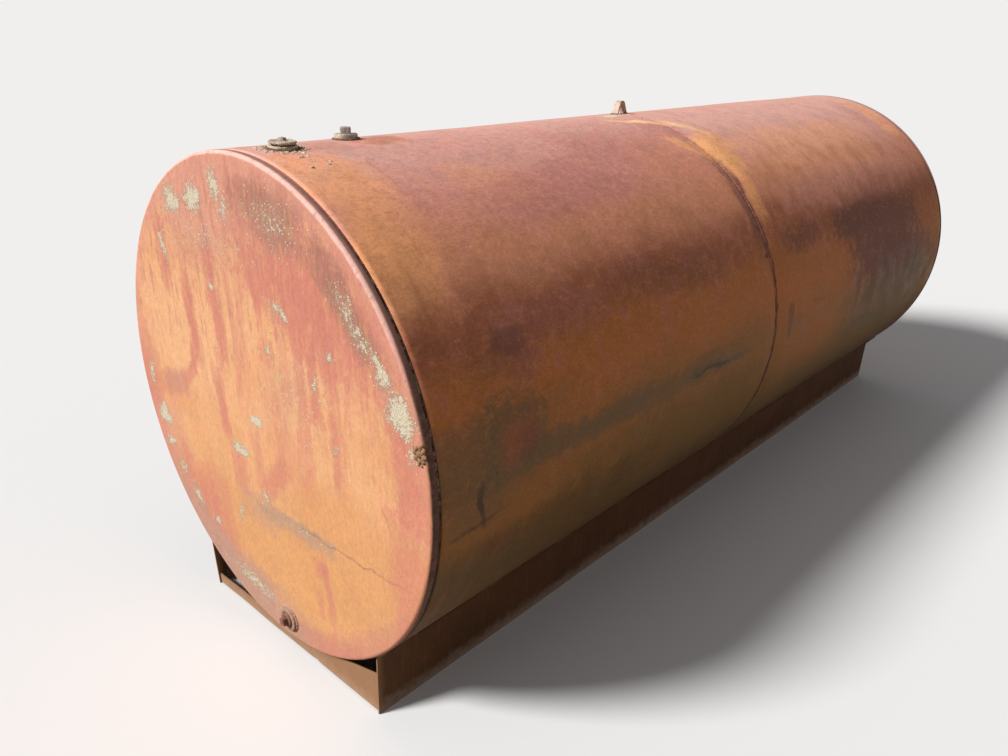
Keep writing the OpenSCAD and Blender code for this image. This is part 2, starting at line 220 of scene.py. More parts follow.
# Marks on the shell: distance from the drain end, distance round from the top line, half
# length, half height, turn in degrees, softness, strength and colour
SHELL_MARKS = (
    (0.95, 0.16, 0.75, 0.16, 0, 1.0, 0.45, "salmon"),
    (0.120, 0.33, 0.095, 0.20, 0, 1.0, 0.75, "gold"),
    (0.090, 0.53, 0.085, 0.10, 0, 1.0, 0.50, "gold"),
    (0.300, 0.46, 0.160, 0.10, 0, 1.0, 0.35, "ochre"),
    (0.510, 0.33, 0.110, 0.060, 20, 1.0, 0.45, "gold"),
    (0.800, 0.26, 0.600, 0.190, 0, 1.0, 0.40, "mauve"),
    (0.700, 0.39, 0.240, 0.085, -3, 1.0, 0.60, "mauve"),
    (1.070, 0.27, 0.230, 0.090, 10, 1.0, 0.50, "mauve"),
    (1.375, 0.215, 0.085, 0.075, 20, 1.0, 0.60, "mauve"),
    (1.260, 0.420, 0.170, 0.150, 0, 1.0, 0.55, "ochre"),
    (0.780, 0.530, 0.300, 0.060, 0, 1.0, 0.50, "ochre"),
    (1.354, 0.130, 0.100, 0.018, 23, 0.9, 1.00, "straw"),
    (1.534, 0.220, 0.090, 0.018, 50, 0.9, 1.00, "straw"),
    (1.380, 0.335, 0.080, 0.016, 45, 1.0, 0.80, "gold"),
    # The honey and gold patches just behind the girth seam are partly painted highlight on the waist's far
    # side
    (1.500, 0.365, 0.066, 0.090, -20, 1.0, 1.00, "honey"),
    (1.560, 0.300, 0.070, 0.050, 40, 1.0, 0.75, "gold"),
    (1.500, 0.500, 0.040, 0.110, 0, 1.0, 0.70, "gold"),
    (0.090, 0.640, 0.100, 0.045, 0, 1.0, 0.50, "umber"),
    (0.430, 0.700, 0.180, 0.050, 0, 1.0, 0.35, "mauve"),
    (0.900, 0.690, 0.240, 0.050, 4, 1.0, 0.35, "purple"),
    (0.284, 0.718, 0.052, 0.026, 0, 0.9, 0.65, "purple"),
    (0.240, 0.755, 0.090, 0.030, 10, 1.0, 0.35, "purple"),
    (0.300, 0.880, 0.160, 0.050, 0, 1.0, 0.45, "khaki"),
    (0.250, 0.914, 0.088, 0.086, 0, 1.0, 0.80, "slate"),
    (0.252, 0.922, 0.052, 0.050, 0, 1.0, 0.80, "umber"),
    (0.275, 0.940, 0.030, 0.036, 0, 1.0, 0.50, "purple"),
    (0.080, 0.915, 0.110, 0.070, 0, 1.0, 0.60, "slate"),
    (0.130, 1.020, 0.090, 0.060, 0, 1.0, 0.45, "slate"),
    (0.148, 1.030, 0.008, 0.055, -6, 0.9, 0.80, "soot"),
    (0.120, 1.065, 0.070, 0.006, -4, 0.9, 0.50, "soot"),
    (0.700, 0.980, 0.480, 0.034, 0, 1.0, 0.60, "slate"),
    (0.560, 0.975, 0.220, 0.034, 0, 1.0, 0.35, "slate"),
    (1.110, 0.986, 0.160, 0.011, 1, 0.9, 0.80, "slate"),
    (1.080, 0.989, 0.090, 0.005, 1, 0.9, 0.55, "soot"),
    # The olive and belly marks low on the shell are partly dirt and partly painted shade
    (1.000, 1.140, 0.500, 0.100, 0, 1.0, 0.75, "olive"),
    (0.320, 1.240, 0.460, 0.110, 0, 1.0, 0.80, "belly"),
    (2.400, 0.815, 0.340, 0.155, 2, 0.7, 0.92, "purple"),
    (2.150, 0.725, 0.200, 0.060, -4, 1.0, 0.60, "purple"),
    (2.540, 0.950, 0.330, 0.105, 3, 1.0, 0.78, "purple"),
    (2.300, 0.560, 0.560, 0.090, 0, 1.0, 0.45, "dusk"),
    (2.040, 0.730, 0.120, 0.048, 4, 1.0, 0.70, "purple"),
    (1.680, 0.712, 0.120, 0.042, 0, 1.0, 0.65, "purple"),
    (2.840, 0.800, 0.130, 0.140, 0, 1.0, 0.25, "purple"),
    (2.300, 0.240, 0.680, 0.200, 0, 1.0, 0.55, "salmon"),
    (2.100, 0.400, 0.500, 0.110, 0, 1.0, 0.42, "gold"),
    (2.920, 0.290, 0.060, 0.160, 0, 1.0, 0.60, "gold"),
    (2.790, 0.260, 0.050, 0.100, 0, 1.0, 0.35, "mauve"),
    (1.547, 0.975, 0.018, 0.048, 4, 0.8, 0.85, "soot"),
    (1.600, 0.985, 0.050, 0.020, 10, 1.0, 0.45, "slate"),
    (1.720, 1.000, 0.260, 0.120, 0, 1.0, 0.45, "tawny"),
    (1.770, 0.940, 0.052, 0.0050, 3, 0.8, 0.85, "umber"),
    (2.270, 1.140, 0.090, 0.022, 8, 1.0, 0.70, "slate"),
    (2.750, 0.980, 0.060, 0.055, 10, 1.0, 0.70, "slate"),
    (2.500, 1.090, 0.440, 0.120, 0, 1.0, 0.72, "slate"),
    (0.200, 0.060, 0.100, 0.060, 0, 1.0, 0.45, "mauve"),
    (0.390, 0.045, 0.060, 0.055, 0, 1.0, 0.60, "umber"),
    (1.372, 0.016, 0.062, 0.020, 0, 0.9, 0.95, "cream"),
    (1.444, 0.250, 0.012, 0.200, 0, 1.0, 0.30, "umber"),
    # The purple band along the girth seam, on its drain end's side, is partly painted shade on the waist's
    # near side
    (1.424, 0.560, 0.034, 0.170, 0, 1.0, 0.62, "purple"),
    (1.440, 0.640, 0.014, 0.130, 0, 1.0, 0.80, "purple"),
    (1.420, 0.735, 0.010, 0.008, 0, 0.8, 0.80, "soot"),
    (1.444, 0.820, 0.007, 0.400, 0, 0.9, 0.75, "purple"),
    (1.446, 1.080, 0.006, 0.320, 0, 0.9, 0.80, "soot"),
)

# Marks on the drain end's head: distance to the right of the axis, height over it, half
# width, half height, turn in degrees, softness, strength and colour
HEAD_MARKS = (
    (-0.412, 0.152, 0.140, 0.150, 0, 1.0, 0.70, "peach"),
    (-0.330, 0.300, 0.120, 0.120, 0, 1.0, 0.45, "peach"),
    (-0.060, 0.060, 0.220, 0.180, 0, 1.0, 0.30, "peach"),
    (0.018, -0.368, 0.280, 0.120, 0, 1.0, 0.70, "amber"),
    (0.330, -0.300, 0.200, 0.200, 0, 1.0, 0.50, "amber"),
    (0.030, 0.540, 0.480, 0.130, 0, 1.0, 0.90, "blush"),
    (0.200, 0.400, 0.210, 0.130, -20, 1.0, 0.80, "rose"),
    (0.320, 0.330, 0.190, 0.110, -40, 1.0, 0.70, "rose"),
    (0.490, 0.300, 0.200, 0.070, -58, 1.0, 0.80, "rose"),
    (0.580, 0.050, 0.056, 0.130, 0, 1.0, 0.80, "rose"),
    (-0.262, 0.200, 0.022, 0.120, 4, 1.0, 0.90, "rose"),
    (-0.280, 0.110, 0.020, 0.060, -20, 1.0, 0.70, "rose"),
    (-0.332, 0.030, 0.056, 0.024, 38, 1.0, 0.70, "rose"),
    (-0.440, -0.024, 0.080, 0.034, 14, 1.0, 0.65, "rose"),
    (-0.132, 0.300, 0.024, 0.170, 2, 1.0, 0.90, "rose"),
    (-0.168, -0.008, 0.022, 0.085, 4, 1.0, 0.80, "rose"),
    (-0.366, 0.366, 0.028, 0.090, 0, 1.0, 0.85, "rose"),
    (-0.200, 0.380, 0.100, 0.040, -10, 1.0, 0.45, "rose"),
    (-0.060, 0.230, 0.012, 0.180, 0, 1.0, 0.40, "rose"),
    (-0.020, 0.250, 0.020, 0.140, 0, 1.0, 0.40, "rose"),
    (0.088, 0.342, 0.045, 0.045, 0, 1.0, 0.60, "rose"),
    (0.073, 0.190, 0.030, 0.034, 0, 1.0, 0.45, "rose"),
    (0.150, 0.180, 0.026, 0.110, 4, 1.0, 0.40, "rose"),
    (0.210, 0.130, 0.024, 0.190, 0, 1.0, 0.55, "rose"),
    (0.263, 0.170, 0.022, 0.100, 0, 1.0, 0.80, "rose"),
    (0.330, 0.180, 0.020, 0.150, 0, 1.0, 0.45, "rose"),
    (0.320, 0.000, 0.018, 0.095, 0, 1.0, 0.65, "rose"),
    (0.120, -0.010, 0.060, 0.120, 20, 1.0, 0.35, "rose"),
    (0.058, -0.143, 0.075, 0.028, 45, 1.0, 0.65, "rose"),
    (-0.112, -0.173, 0.036, 0.065, 0, 1.0, 0.60, "rose"),
    (-0.020, -0.120, 0.024, 0.090, 0, 1.0, 0.40, "rose"),
    (-0.590, -0.140, 0.070, 0.240, 0, 1.0, 0.80, "rose"),
    (-0.500, -0.200, 0.080, 0.110, 0, 1.0, 0.50, "blush"),
    (-0.390, -0.410, 0.190, 0.130, -38, 1.0, 0.80, "rose"),
    (-0.280, -0.300, 0.080, 0.070, 0, 1.0, 0.50, "rose"),
    (0.560, -0.270, 0.075, 0.200, 0, 1.0, 0.60, "rose"),
    (0.420, -0.460, 0.180, 0.050, 42, 1.0, 0.60, "rose"),
    (0.238, -0.378, 0.016, 0.095, 4, 1.0, 0.70, "rose"),
    (0.222, -0.330, 0.028, 0.030, 0, 1.0, 0.60, "rose"),
    (0.196, -0.440, 0.016, 0.045, 0, 1.0, 0.50, "rose"),
    (-0.142, -0.530, 0.240, 0.065, -8, 1.0, 0.85, "ash"),
    (0.210, -0.575, 0.220, 0.050, 12, 1.0, 0.80, "rose"),
    (-0.330, -0.450, 0.120, 0.050, -35, 1.0, 0.45, "ash"),
    (-0.050, -0.270, 0.080, 0.050, 0, 1.0, 0.45, "ash"),
    (-0.420, -0.015, 0.080, 0.035, 15, 1.0, 0.40, "ash"),
    (0.160, 0.515, 0.130, 0.060, -6, 1.0, 0.75, "stain"),
    (0.190, 0.480, 0.070, 0.050, 0, 1.0, 0.40, "stain"),
    (0.060, 0.545, 0.070, 0.040, 0, 1.0, 0.40, "stain"),
    (0.340, 0.430, 0.080, 0.046, -38, 1.0, 0.75, "stain"),
    (0.405, 0.355, 0.120, 0.040, -48, 1.0, 0.72, "stain"),
    (0.450, 0.300, 0.070, 0.024, -50, 1.0, 0.45, "stain"),
    (0.523, 0.212, 0.060, 0.030, -44, 1.0, 0.45, "ash"),
    (0.120, -0.255, 0.160, 0.024, 2, 1.0, 0.65, "smear"),
    (0.170, -0.236, 0.130, 0.010, 3, 1.0, 0.60, "smear"),
    (0.330, -0.231, 0.170, 0.0028, 2, 1.0, 0.60, "stain"),
    (0.486, -0.080, 0.0022, 0.030, 22, 1.0, 0.50, "stain"),
    (0.038, -0.567, 0.064, 0.064, 0, 0.7, 0.60, "orange"),
    (0.060, -0.590, 0.040, 0.036, 0, 0.9, 0.60, "stain"),
)

# Marks on the far head, in the same form
REAR_HEAD_MARKS = (
    (0.000, 0.500, 0.500, 0.170, 0, 1.0, 0.80, "rose"),
    (-0.280, 0.220, 0.200, 0.160, 15, 1.0, 0.55, "rose"),
    (0.300, 0.260, 0.130, 0.200, 8, 1.0, 0.55, "peach"),
    (0.060, 0.300, 0.024, 0.200, 0, 1.0, 0.70, "rose"),
    (0.180, 0.240, 0.018, 0.160, 2, 1.0, 0.60, "rose"),
    (-0.120, 0.100, 0.020, 0.180, -2, 1.0, 0.60, "rose"),
    (-0.420, -0.060, 0.110, 0.120, 0, 1.0, 0.60, "stain"),
    (0.350, -0.300, 0.160, 0.110, 12, 1.0, 0.60, "amber"),
    (-0.100, -0.350, 0.260, 0.130, 0, 1.0, 0.60, "amber"),
    (0.000, -0.560, 0.340, 0.070, 0, 1.0, 0.80, "ash"),
    (0.120, 0.460, 0.140, 0.070, 10, 1.0, 0.60, "stain"),
    (-0.540, 0.140, 0.060, 0.200, 0, 1.0, 0.60, "ash"),
    (0.480, 0.020, 0.004, 0.090, 8, 1.0, 0.60, "slate"),
)

# Lichen on a head: place, half width, half height, turn and density
HEAD_LICHEN = (
    (-0.282, 0.492, 0.070, 0.052, 20, 0.85),
    (-0.170, 0.512, 0.075, 0.050, 5, 0.95),
    (-0.057, 0.555, 0.045, 0.065, 0, 0.80),
    (-0.030, 0.500, 0.040, 0.060, 0, 0.60),
    (-0.362, 0.372, 0.024, 0.075, 0, 0.70),
    (-0.134, 0.300, 0.030, 0.018, 0, 1.00),
    (0.158, 0.492, 0.160, 0.100, -6, 0.44),
    (0.143, 0.302, 0.065, 0.040, -15, 0.62),
    (0.165, 0.295, 0.034, 0.014, 0, 1.00),
    (0.083, 0.202, 0.022, 0.022, 0, 0.80),
    (0.268, 0.167, 0.020, 0.050, 0, 0.75),
    (0.330, 0.247, 0.024, 0.026, 0, 0.85),
    (0.330, 0.032, 0.014, 0.016, 0, 0.85),
    (0.418, 0.332, 0.130, 0.050, -50, 0.62),
    (0.490, 0.262, 0.090, 0.030, -50, 0.95),
    (0.548, 0.182, 0.064, 0.066, -20, 1.10),
    (0.575, 0.110, 0.028, 0.040, 0, 0.80),
    (0.002, -0.006, 0.040, 0.026, 35, 1.10),
    (-0.097, -0.113, 0.058, 0.027, 8, 1.10),
    (-0.530, -0.148, 0.052, 0.052, 0, 1.00),
    (-0.517, -0.228, 0.045, 0.028, 10, 1.00),
    (-0.567, -0.020, 0.032, 0.080, -8, 0.75),
    (-0.470, -0.300, 0.050, 0.050, 40, 0.60),
    (-0.402, -0.368, 0.052, 0.075, 30, 0.62),
    (-0.292, -0.408, 0.050, 0.020, 0, 0.65),
    (-0.132, -0.530, 0.190, 0.052, -6, 0.62),
    (-0.147, -0.323, 0.045, 0.050, 0, 0.58),
    (0.000, -0.220, 0.040, 0.028, 0, 0.62),
    (0.180, -0.250, 0.120, 0.018, 2, 0.50),
    (0.150, 0.120, 0.200, 0.160, 0, 0.32),
    (-0.150, 0.420, 0.300, 0.120, 0, 0.34),
)
REAR_LICHEN = (
    (-0.240, 0.500, 0.120, 0.070, 20, 0.80),
    (0.150, 0.520, 0.160, 0.060, -8, 0.70),
    (-0.450, 0.250, 0.050, 0.110, 0, 0.80),
    (0.480, 0.180, 0.060, 0.100, 20, 0.60),
    (0.060, 0.020, 0.050, 0.030, 15, 0.90),
    (-0.200, -0.420, 0.140, 0.070, 10, 0.60),
)

# Cells of the mud clump: place across and up, and radius
MUD_CELLS = (
    (0.000, 0.002, 0.0080), (-0.007, 0.011, 0.0056), (0.002, 0.014, 0.0064), (0.009, 0.009, 0.0056),
    (-0.012, 0.002, 0.0056), (0.011, -0.002, 0.0054), (-0.008, -0.008, 0.0066), (0.001, -0.010, 0.0068),
    (0.009, -0.011, 0.0052), (-0.003, -0.017, 0.0050), (0.005, -0.019, 0.0042), (-0.013, 0.009, 0.0040),
    (0.006, 0.019, 0.0038),
)


class Graph:
    """Adds nodes to a node tree and links them"""

    def __init__(self, tree):
        self.tree = tree

    def put(self, socket, value):
        """Links a socket to another, or sets its value"""
        if isinstance(value, bpy.types.NodeSocket):
            self.tree.links.new(value, socket)
        elif value is not None:
            socket.default_value = value

    def add(self, kind, *values, named=None, **settings):
        """Adds a node, with its first inputs in order and others by name"""
        node = self.tree.nodes.new(kind)
        for key, value in settings.items():
            setattr(node, key, value)
        for socket, value in zip(node.inputs, values):
            self.put(socket, value)
        for key, value in (named or {}).items():
            self.put(node.inputs[key], value)
        return node

    def math(self, operation, a, b=None, c=None):
        """A number worked out from up to three others"""
        return self.add("ShaderNodeMath", a, b, c, operation=operation).outputs[0]

    def vector(self, operation, a, b=None, scale=None):
        """A vector, or its length, worked out from up to two others"""
        node = self.add("ShaderNodeVectorMath", a, b, operation=operation)
        if scale is not None:
            self.put(node.inputs["Scale"], scale)
        return node.outputs["Value" if operation == "LENGTH" else "Vector"]

    def plus(self, a, b):
        """The sum of two numbers"""
        return self.math("ADD", a, b)

    def less(self, a, b):
        """One number less another"""
        return self.math("SUBTRACT", a, b)

    def times(self, a, b):
        """The product of two numbers"""
        return self.math("MULTIPLY", a, b)

    def weigh(self, *parts):
        """The sum of numbers, each times its weight"""
        total = 0.0
        for value, weight in parts:
            total = self.math("MULTIPLY_ADD", value, weight, total)
        return total

    def fade(self, value, low, high, start=0.0, end=1.0):
        """A smooth step of a value between two limits"""
        return self.add("ShaderNodeMapRange", value, low, high, start, end,
                        interpolation_type="SMOOTHSTEP").outputs[0]

    def noise(self, place, scale, detail, roughness):
        """Cloudy noise round one half, drawn out where the scale has three parts"""
        if isinstance(scale, tuple):
            place, scale = self.vector("MULTIPLY", place, scale), 1.0
        return self.add("ShaderNodeTexNoise", named={
            "Vector": place, "Scale": scale, "Detail": detail, "Roughness": roughness}).outputs[0]

    def drift(self, place, scale, reach):
        """A place moved by noise, at most about half of reach to each side"""
        node = self.add("ShaderNodeTexNoise", named={
            "Vector": place, "Scale": scale, "Detail": 3.0})
        moved = self.vector("SUBTRACT", node.outputs[1], (0.5, 0.5, 0.5))
        return self.vector("ADD", place, self.vector("SCALE", moved, scale=reach))

    def blend(self, factor, a, b):
        """A mix of two colours, each a socket or a tone's name"""
        node = self.add("ShaderNodeMix", data_type="RGBA")
        self.put(node.inputs[0], factor)
        self.put(node.inputs[6], tone(a))
        self.put(node.inputs[7], tone(b))
        return node.outputs[2]

    def grained(self, colour, *layers):
        """A colour made lighter and darker by noises, each with its reach and strength"""
        lift = 1.0
        for value, reach, strength in layers:
            lift = self.times(lift, self.fade(value, 0.5 - reach, 0.5 + reach, 1 - strength, 1 + strength))
        return self.vector("SCALE", colour, scale=lift)

    def ramp(self, value, stops):
        """A colour from a list of places and tones"""
        node = self.add("ShaderNodeValToRGB", value)
        elements = node.color_ramp.elements
        elements[0].position, elements[0].color = stops[0][0], tone(stops[0][1])
        elements[1].position, elements[1].color = stops[-1][0], tone(stops[-1][1])
        for position, name in stops[1:-1]:
            elements.new(position).color = tone(name)
        return node.outputs[0]


def tone(name):
    """A named colour with full opacity; a socket stays as it is"""
    if isinstance(name, bpy.types.NodeSocket):
        return name
    return (*getattr(bpy.context.scene.tank_colours, name), 1.0)


def new_finish(name):
    """An empty material with its shader, and the graph that builds it"""
    material = bpy.data.materials.new(name)
    material.use_nodes = True
    tree = material.node_tree
    tree.nodes.clear()
    graph = Graph(tree)
    shader = graph.add("ShaderNodeBsdfPrincipled", named={"Specular IOR Level": 0.2})
    graph.add("ShaderNodeOutputMaterial", shader.outputs[0])
    place = graph.add("ShaderNodeTexCoord").outputs["Object"]
    return material, graph, shader, place


def close_finish(graph, shader, colour, roughness, height, depth):
    """Joins a finish's colour, roughness and bump to its shader"""
    graph.put(shader.inputs["Base Color"], colour)
    graph.put(shader.inputs["Roughness"], roughness)
    bump = graph.add("ShaderNodeBump", named={"Strength": 1.0, "Distance": depth, "Height": height})
    graph.put(shader.inputs["Normal"], bump.outputs[0])


def add_marks(graph, colour, place, marks, mottle, raggedness):
    """Lays a table of marks over a colour, each a ragged patch between an oval and a box"""
    uneven = graph.less(mottle, 0.5)
    ragged = {}
    for x, y, wide, high, turn, softness, strength, name in marks:
        if softness not in ragged:
            ragged[softness] = graph.times(uneven, raggedness * softness)
        own = graph.add("ShaderNodeMapping", place, (x, y, 0.0), (0.0, 0.0, math.radians(turn)),
                        (wide, high, 1.0), vector_type="TEXTURE").outputs[0]
        away = graph.less(graph.vector("LENGTH", graph.vector("MULTIPLY", own, own)), ragged[softness])
        edge = MARK_EDGE * softness
        colour = graph.blend(graph.fade(away, 1.0 + edge, 1.0 - edge, 0.0, strength), colour, name)
    return colour


def shell_finish():
    """Primer on the shell: chalky on top with painted sky sheen, ochre on the sides with a band of painted
    shade, dark and green-brown below, partly dirt and partly painted shade
    """
    material, graph, shader, place = new_finish("shell_primer")
    split = graph.add("ShaderNodeSeparateXYZ", place).outputs
    height = graph.less(split[2], AXIS_Z)
    angle = graph.math("ARCTAN2", split[0], height)
    around = graph.times(angle, RADIUS)
    along = graph.less(split[1], FRONT_Y)
    sheet = graph.add("ShaderNodeCombineXYZ", along, around, 0.0).outputs[0]
    cloud = graph.noise(place, 2.6, 5.0, 0.6)
    mottle = graph.noise(graph.drift(place, 9.0, 0.05), 13.0, 8.0, 0.70)
    drawn = graph.vector("MULTIPLY", place, (1.0, 0.66, 1.0))
    blots = graph.noise(graph.drift(drawn, 30.0, 0.012), 56.0, 6.0, 0.72)
    grain = graph.noise(drawn, 150.0, 6.0, 0.76)
    fine = graph.noise(place, 420.0, 3.0, 0.66)
    brushed = graph.noise(sheet, (14.0, 6.0, 1.0), 7.0, 0.68)

    level = graph.math("ABSOLUTE", graph.math("DIVIDE", around, math.pi * RADIUS))
    wander = graph.less(graph.weigh((cloud, 0.10), (brushed, 0.05)), 0.075)
    # The ramp holds painted light. The pink top (salmon, dusk) is partly chalked primer and partly painted
    # sky sheen. The umber band near 0.32 to 0.345 is painted shade along the key light's terminator. Olive
    # and belly darken the lower half, partly as dirt and partly as painted shade.
    colour = graph.ramp(graph.plus(level, wander), (
        (0.0, "salmon"), (0.10, "salmon"), (0.18, "dusk"), (0.25, "ochre"),
        (0.28, "ochre"), (0.32, "umber"), (0.345, "umber"), (0.385, "tawny"),
        (0.44, "tawny"), (0.49, "khaki"), (0.56, "khaki"), (0.62, "olive"),
        (0.69, "belly"), (1.0, "belly")))
    left = graph.fade(around, -0.25, -0.60)
    # On the left side, ochre covers the ramp's band of painted terminator shade
    sunny = graph.times(graph.fade(level, 0.47, 0.38), graph.fade(level, 0.20, 0.30, 0.0, 0.85))
    colour = graph.blend(graph.times(sunny, left), colour, "ochre")
    faded = graph.times(graph.fade(cloud, 0.50, 0.60, 0.0, 0.50), left)
    faded = graph.times(faded, graph.fade(level, 0.64, 0.48))
    colour = graph.blend(faded, colour, "mauve")
    runs = graph.noise(sheet, (22.0, 2.4, 1.0), 6.0, 0.66)
    streaky = graph.math("MAXIMUM", left, graph.fade(along, 0.42, 0.14, 0.0, 0.55))
    rundown = graph.times(graph.fade(runs, 0.53, 0.66, 0.0, 0.60), streaky)
    bloom = graph.times(graph.fade(mottle, 0.48, 0.62), graph.fade(level, 0.60, 0.38, 0.10, 0.42))
    colour = graph.blend(bloom, colour, "mauve")
    thin = graph.times(graph.fade(brushed, 0.50, 0.66), graph.fade(level, 0.55, 0.40))
    colour = graph.blend(graph.times(thin, 0.34), colour, "ochre")

    strayed = graph.drift(graph.drift(sheet, 5.5, 0.075), 26.0, 0.030)
    ragged = graph.weigh((mottle, 0.45), (blots, 0.30), (brushed, 0.25))
    colour = add_marks(graph, colour, strayed, SHELL_MARKS, ragged, 7.0)

    colour = graph.blend(rundown, colour, "umber")
    rusty = graph.fade(blots, 0.50, 0.66)
    colour = graph.blend(graph.times(rusty, 0.26), colour, "umber")
    bright = graph.times(graph.fade(blots, 0.50, 0.36), graph.fade(level, 0.62, 0.30))
    colour = graph.blend(graph.times(bright, 0.22), colour, "gold")
    colour = graph.grained(colour, (mottle, 0.20, 0.12), (grain, 0.20, 0.13), (fine, 0.20, 0.13))
    pits = graph.fade(graph.noise(place, 120.0, 6.0, 0.78), 0.615, 0.69)
    colour = graph.blend(graph.times(pits, 0.42), colour, "soot")

    roughness = graph.fade(mottle, 0.30, 0.70, 0.52, 0.72)
    bumps = graph.weigh((grain, 0.6), (fine, 0.5), (pits, -0.8))
    close_finish(graph, shader, colour, roughness, bumps, 0.00022)
    return material


def head_finish(name, marks, rear=False):
    """Primer on a head: orange and peach, rose streaks, brown stains and lichen, a painted highlight along
    the upper rim and painted shade on the flange and the knuckle's far side
    """
    material, graph, shader, place = new_finish(name)
    split = graph.add("ShaderNodeSeparateXYZ", place).outputs
    height = graph.less(split[2], AXIS_Z)
    face = graph.add("ShaderNodeCombineXYZ", split[0], height, 0.0).outputs[0]
    cloud = graph.noise(place, 4.2, 5.0, 0.6)
    mottle = graph.noise(graph.drift(place, 12.0, 0.04), 20.0, 8.0, 0.72)
    blots = graph.noise(graph.drift(place, 34.0, 0.010), 50.0, 6.0, 0.74)
    drips = graph.noise(face, (16.0, 2.6, 1.0), 7.0, 0.66)
    trickle = graph.noise(graph.drift(face, 14.0, 0.02), (64.0, 13.0, 1.0), 7.0, 0.7)
    grain = graph.noise(face, (120.0, 60.0, 1.0), 6.0, 0.70)
    fine = graph.noise(place, 420.0, 3.0, 0.66)

    colour = graph.blend(graph.fade(cloud, 0.36, 0.64), "orange", "peach")
    low = graph.fade(height, 0.10, -0.40)
    colour = graph.blend(graph.times(low, 0.75), colour, "amber")
    upper = graph.fade(height, -0.30, 0.35, 0.20, 1.0)
    streak = graph.times(graph.fade(drips, 0.48, 0.66), upper)
    colour = graph.blend(graph.times(streak, 0.55), colour, "rose")
    bloom = graph.fade(mottle, 0.51, 0.68)
    colour = graph.blend(graph.times(bloom, 0.38), colour, "rose")

    strayed = graph.drift(graph.drift(face, 8.0, 0.042), 34.0, 0.020)
    ragged = graph.weigh((mottle, 0.40), (blots, 0.30), (drips, 0.30))
    colour = add_marks(graph, colour, strayed, marks, ragged, 7.5)
    rosy = graph.fade(graph.plus(height, graph.times(drips, 0.4)), 0.10, 0.55, 0.30, 1.0)
    thin = graph.times(graph.fade(trickle, 0.50, 0.60), rosy)
    colour = graph.blend(graph.times(thin, 0.60), colour, "rose")
    deep = graph.times(graph.fade(trickle, 0.55, 0.64), graph.fade(height, 0.05, 0.45))
    colour = graph.blend(graph.times(deep, 0.45), colour, "mauve")
    bare = graph.times(graph.fade(trickle, 0.49, 0.38), rosy)
    colour = graph.blend(graph.times(bare, 0.42), colour, "orange")

    hair = graph.noise(graph.drift(face, 30.0, 0.012), (90.0, 24.0, 1.0), 5.0, 0.66)
    crack = graph.fade(graph.math("ABSOLUTE", graph.less(hair, 0.5)), 0.014, 0.0)
    crack = graph.times(crack, graph.times(rosy, graph.fade(mottle, 0.44, 0.56, 0.10, 0.60)))
    colour = graph.blend(crack, colour, "stain")

    away = graph.vector("LENGTH", face)
    edge = RADIUS - bpy.context.scene.tank_sizes.knuckle
    worn = graph.plus(away, graph.times(graph.less(mottle, 0.5), 0.012))
    band = graph.fade(worn, edge - 0.050, edge - 0.006)
    broad = graph.fade(worn, edge - 0.110, edge - 0.020)
    dusty = graph.times(broad, graph.fade(height, -0.20, -0.42, 0.0, 0.80))
    dusty = graph.times(dusty, graph.fade(split[0], 0.22, 0.02, 0.25, 1.0))
    colour = graph.blend(dusty, colour, "ash")
    band = graph.times(band, graph.fade(height, -0.10, 0.25, 0.0, 0.45))
    colour = graph.blend(band, colour, "blush")
    # Along the upper rim, where the key light reaches the knuckle, the pale rim colour is partly rubbed
    # paint and partly a painted highlight
    rubbed_and_lit_top = graph.fade(height, 0.16, 0.42)
    rim = graph.times(graph.fade(worn, edge - 0.001, edge + 0.004), rubbed_and_lit_top)
    colour = graph.blend(graph.times(rim, 0.85), colour, "rim")
    # Painted shade: the knuckle's far half and the flange side darken to soot and weld brown. On top and
    # at the bottom this starts further behind the face, and on top it takes the flange colour.
    behind = (REAR_Y, split[1]) if rear else (split[1], FRONT_Y)
    depth = graph.less(*behind)
    whole = graph.plus(rubbed_and_lit_top, graph.fade(height, -0.12, -0.36))
    near = graph.times(graph.plus(whole, graph.less(mottle, 0.5)), 0.005)
    side = graph.fade(graph.less(depth, near), 0.0010, 0.0045)
    shaded_edge_tone = graph.blend(graph.fade(blots, 0.40, 0.62), "soot", "bead")
    shaded_edge_tone = graph.blend(rubbed_and_lit_top, shaded_edge_tone, "flange")
    colour = graph.blend(graph.times(side, 0.92), colour, shaded_edge_tone)
    chips = graph.times(graph.fade(blots, 0.58, 0.66), rim)
    colour = graph.blend(graph.times(chips, 0.45), colour, "stain")

    colour = graph.grained(colour, (mottle, 0.25, 0.10), (grain, 0.22, 0.09), (fine, 0.22, 0.09))
    pits = graph.fade(graph.noise(place, 105.0, 6.0, 0.80), 0.60, 0.67)
    pits = graph.times(pits, graph.fade(cloud, 0.35, 0.65, 0.35, 1.0))
    colour = graph.blend(graph.times(pits, 0.75), colour, "stain")

    dots = graph.weigh((graph.noise(place, 150.0, 5.0, 0.74), 0.62), (blots, 0.38))
    growth = graph.add("ShaderNodeAttribute", attribute_name="growth").outputs["Fac"]
    halo = graph.times(graph.fade(growth, 0.05, 0.70), 0.40)
    colour = graph.blend(halo, colour, "smear")
    over = graph.less(graph.weigh((growth, 0.34), (dots, 1.0)), 0.640)
    crust = graph.times(graph.fade(over, 0.0, 0.05), graph.fade(growth, 0.02, 0.12))
    grown = graph.blend(graph.fade(fine, 0.40, 0.56), "moss", "lichen")
    colour = graph.blend(graph.times(crust, 0.88), colour, grown)

    roughness = graph.fade(mottle, 0.30, 0.70, 0.54, 0.72)
    bumps = graph.weigh((grain, 0.4), (fine, 0.7), (crust, 1.6), (pits, -0.7))
    close_finish(graph, shader, colour, roughness, bumps, 0.00028)
    return material


def growth_finish():
    """Pale lichen in grains"""
    material, graph, shader, place = new_finish("lichen_growth")
    fine = graph.noise(place, 420.0, 4.0, 0.7)
    colour = graph.blend(graph.fade(fine, 0.36, 0.56), "moss", "lichen")
    close_finish(graph, shader, colour, 0.88, fine, 0.0004)
    return material


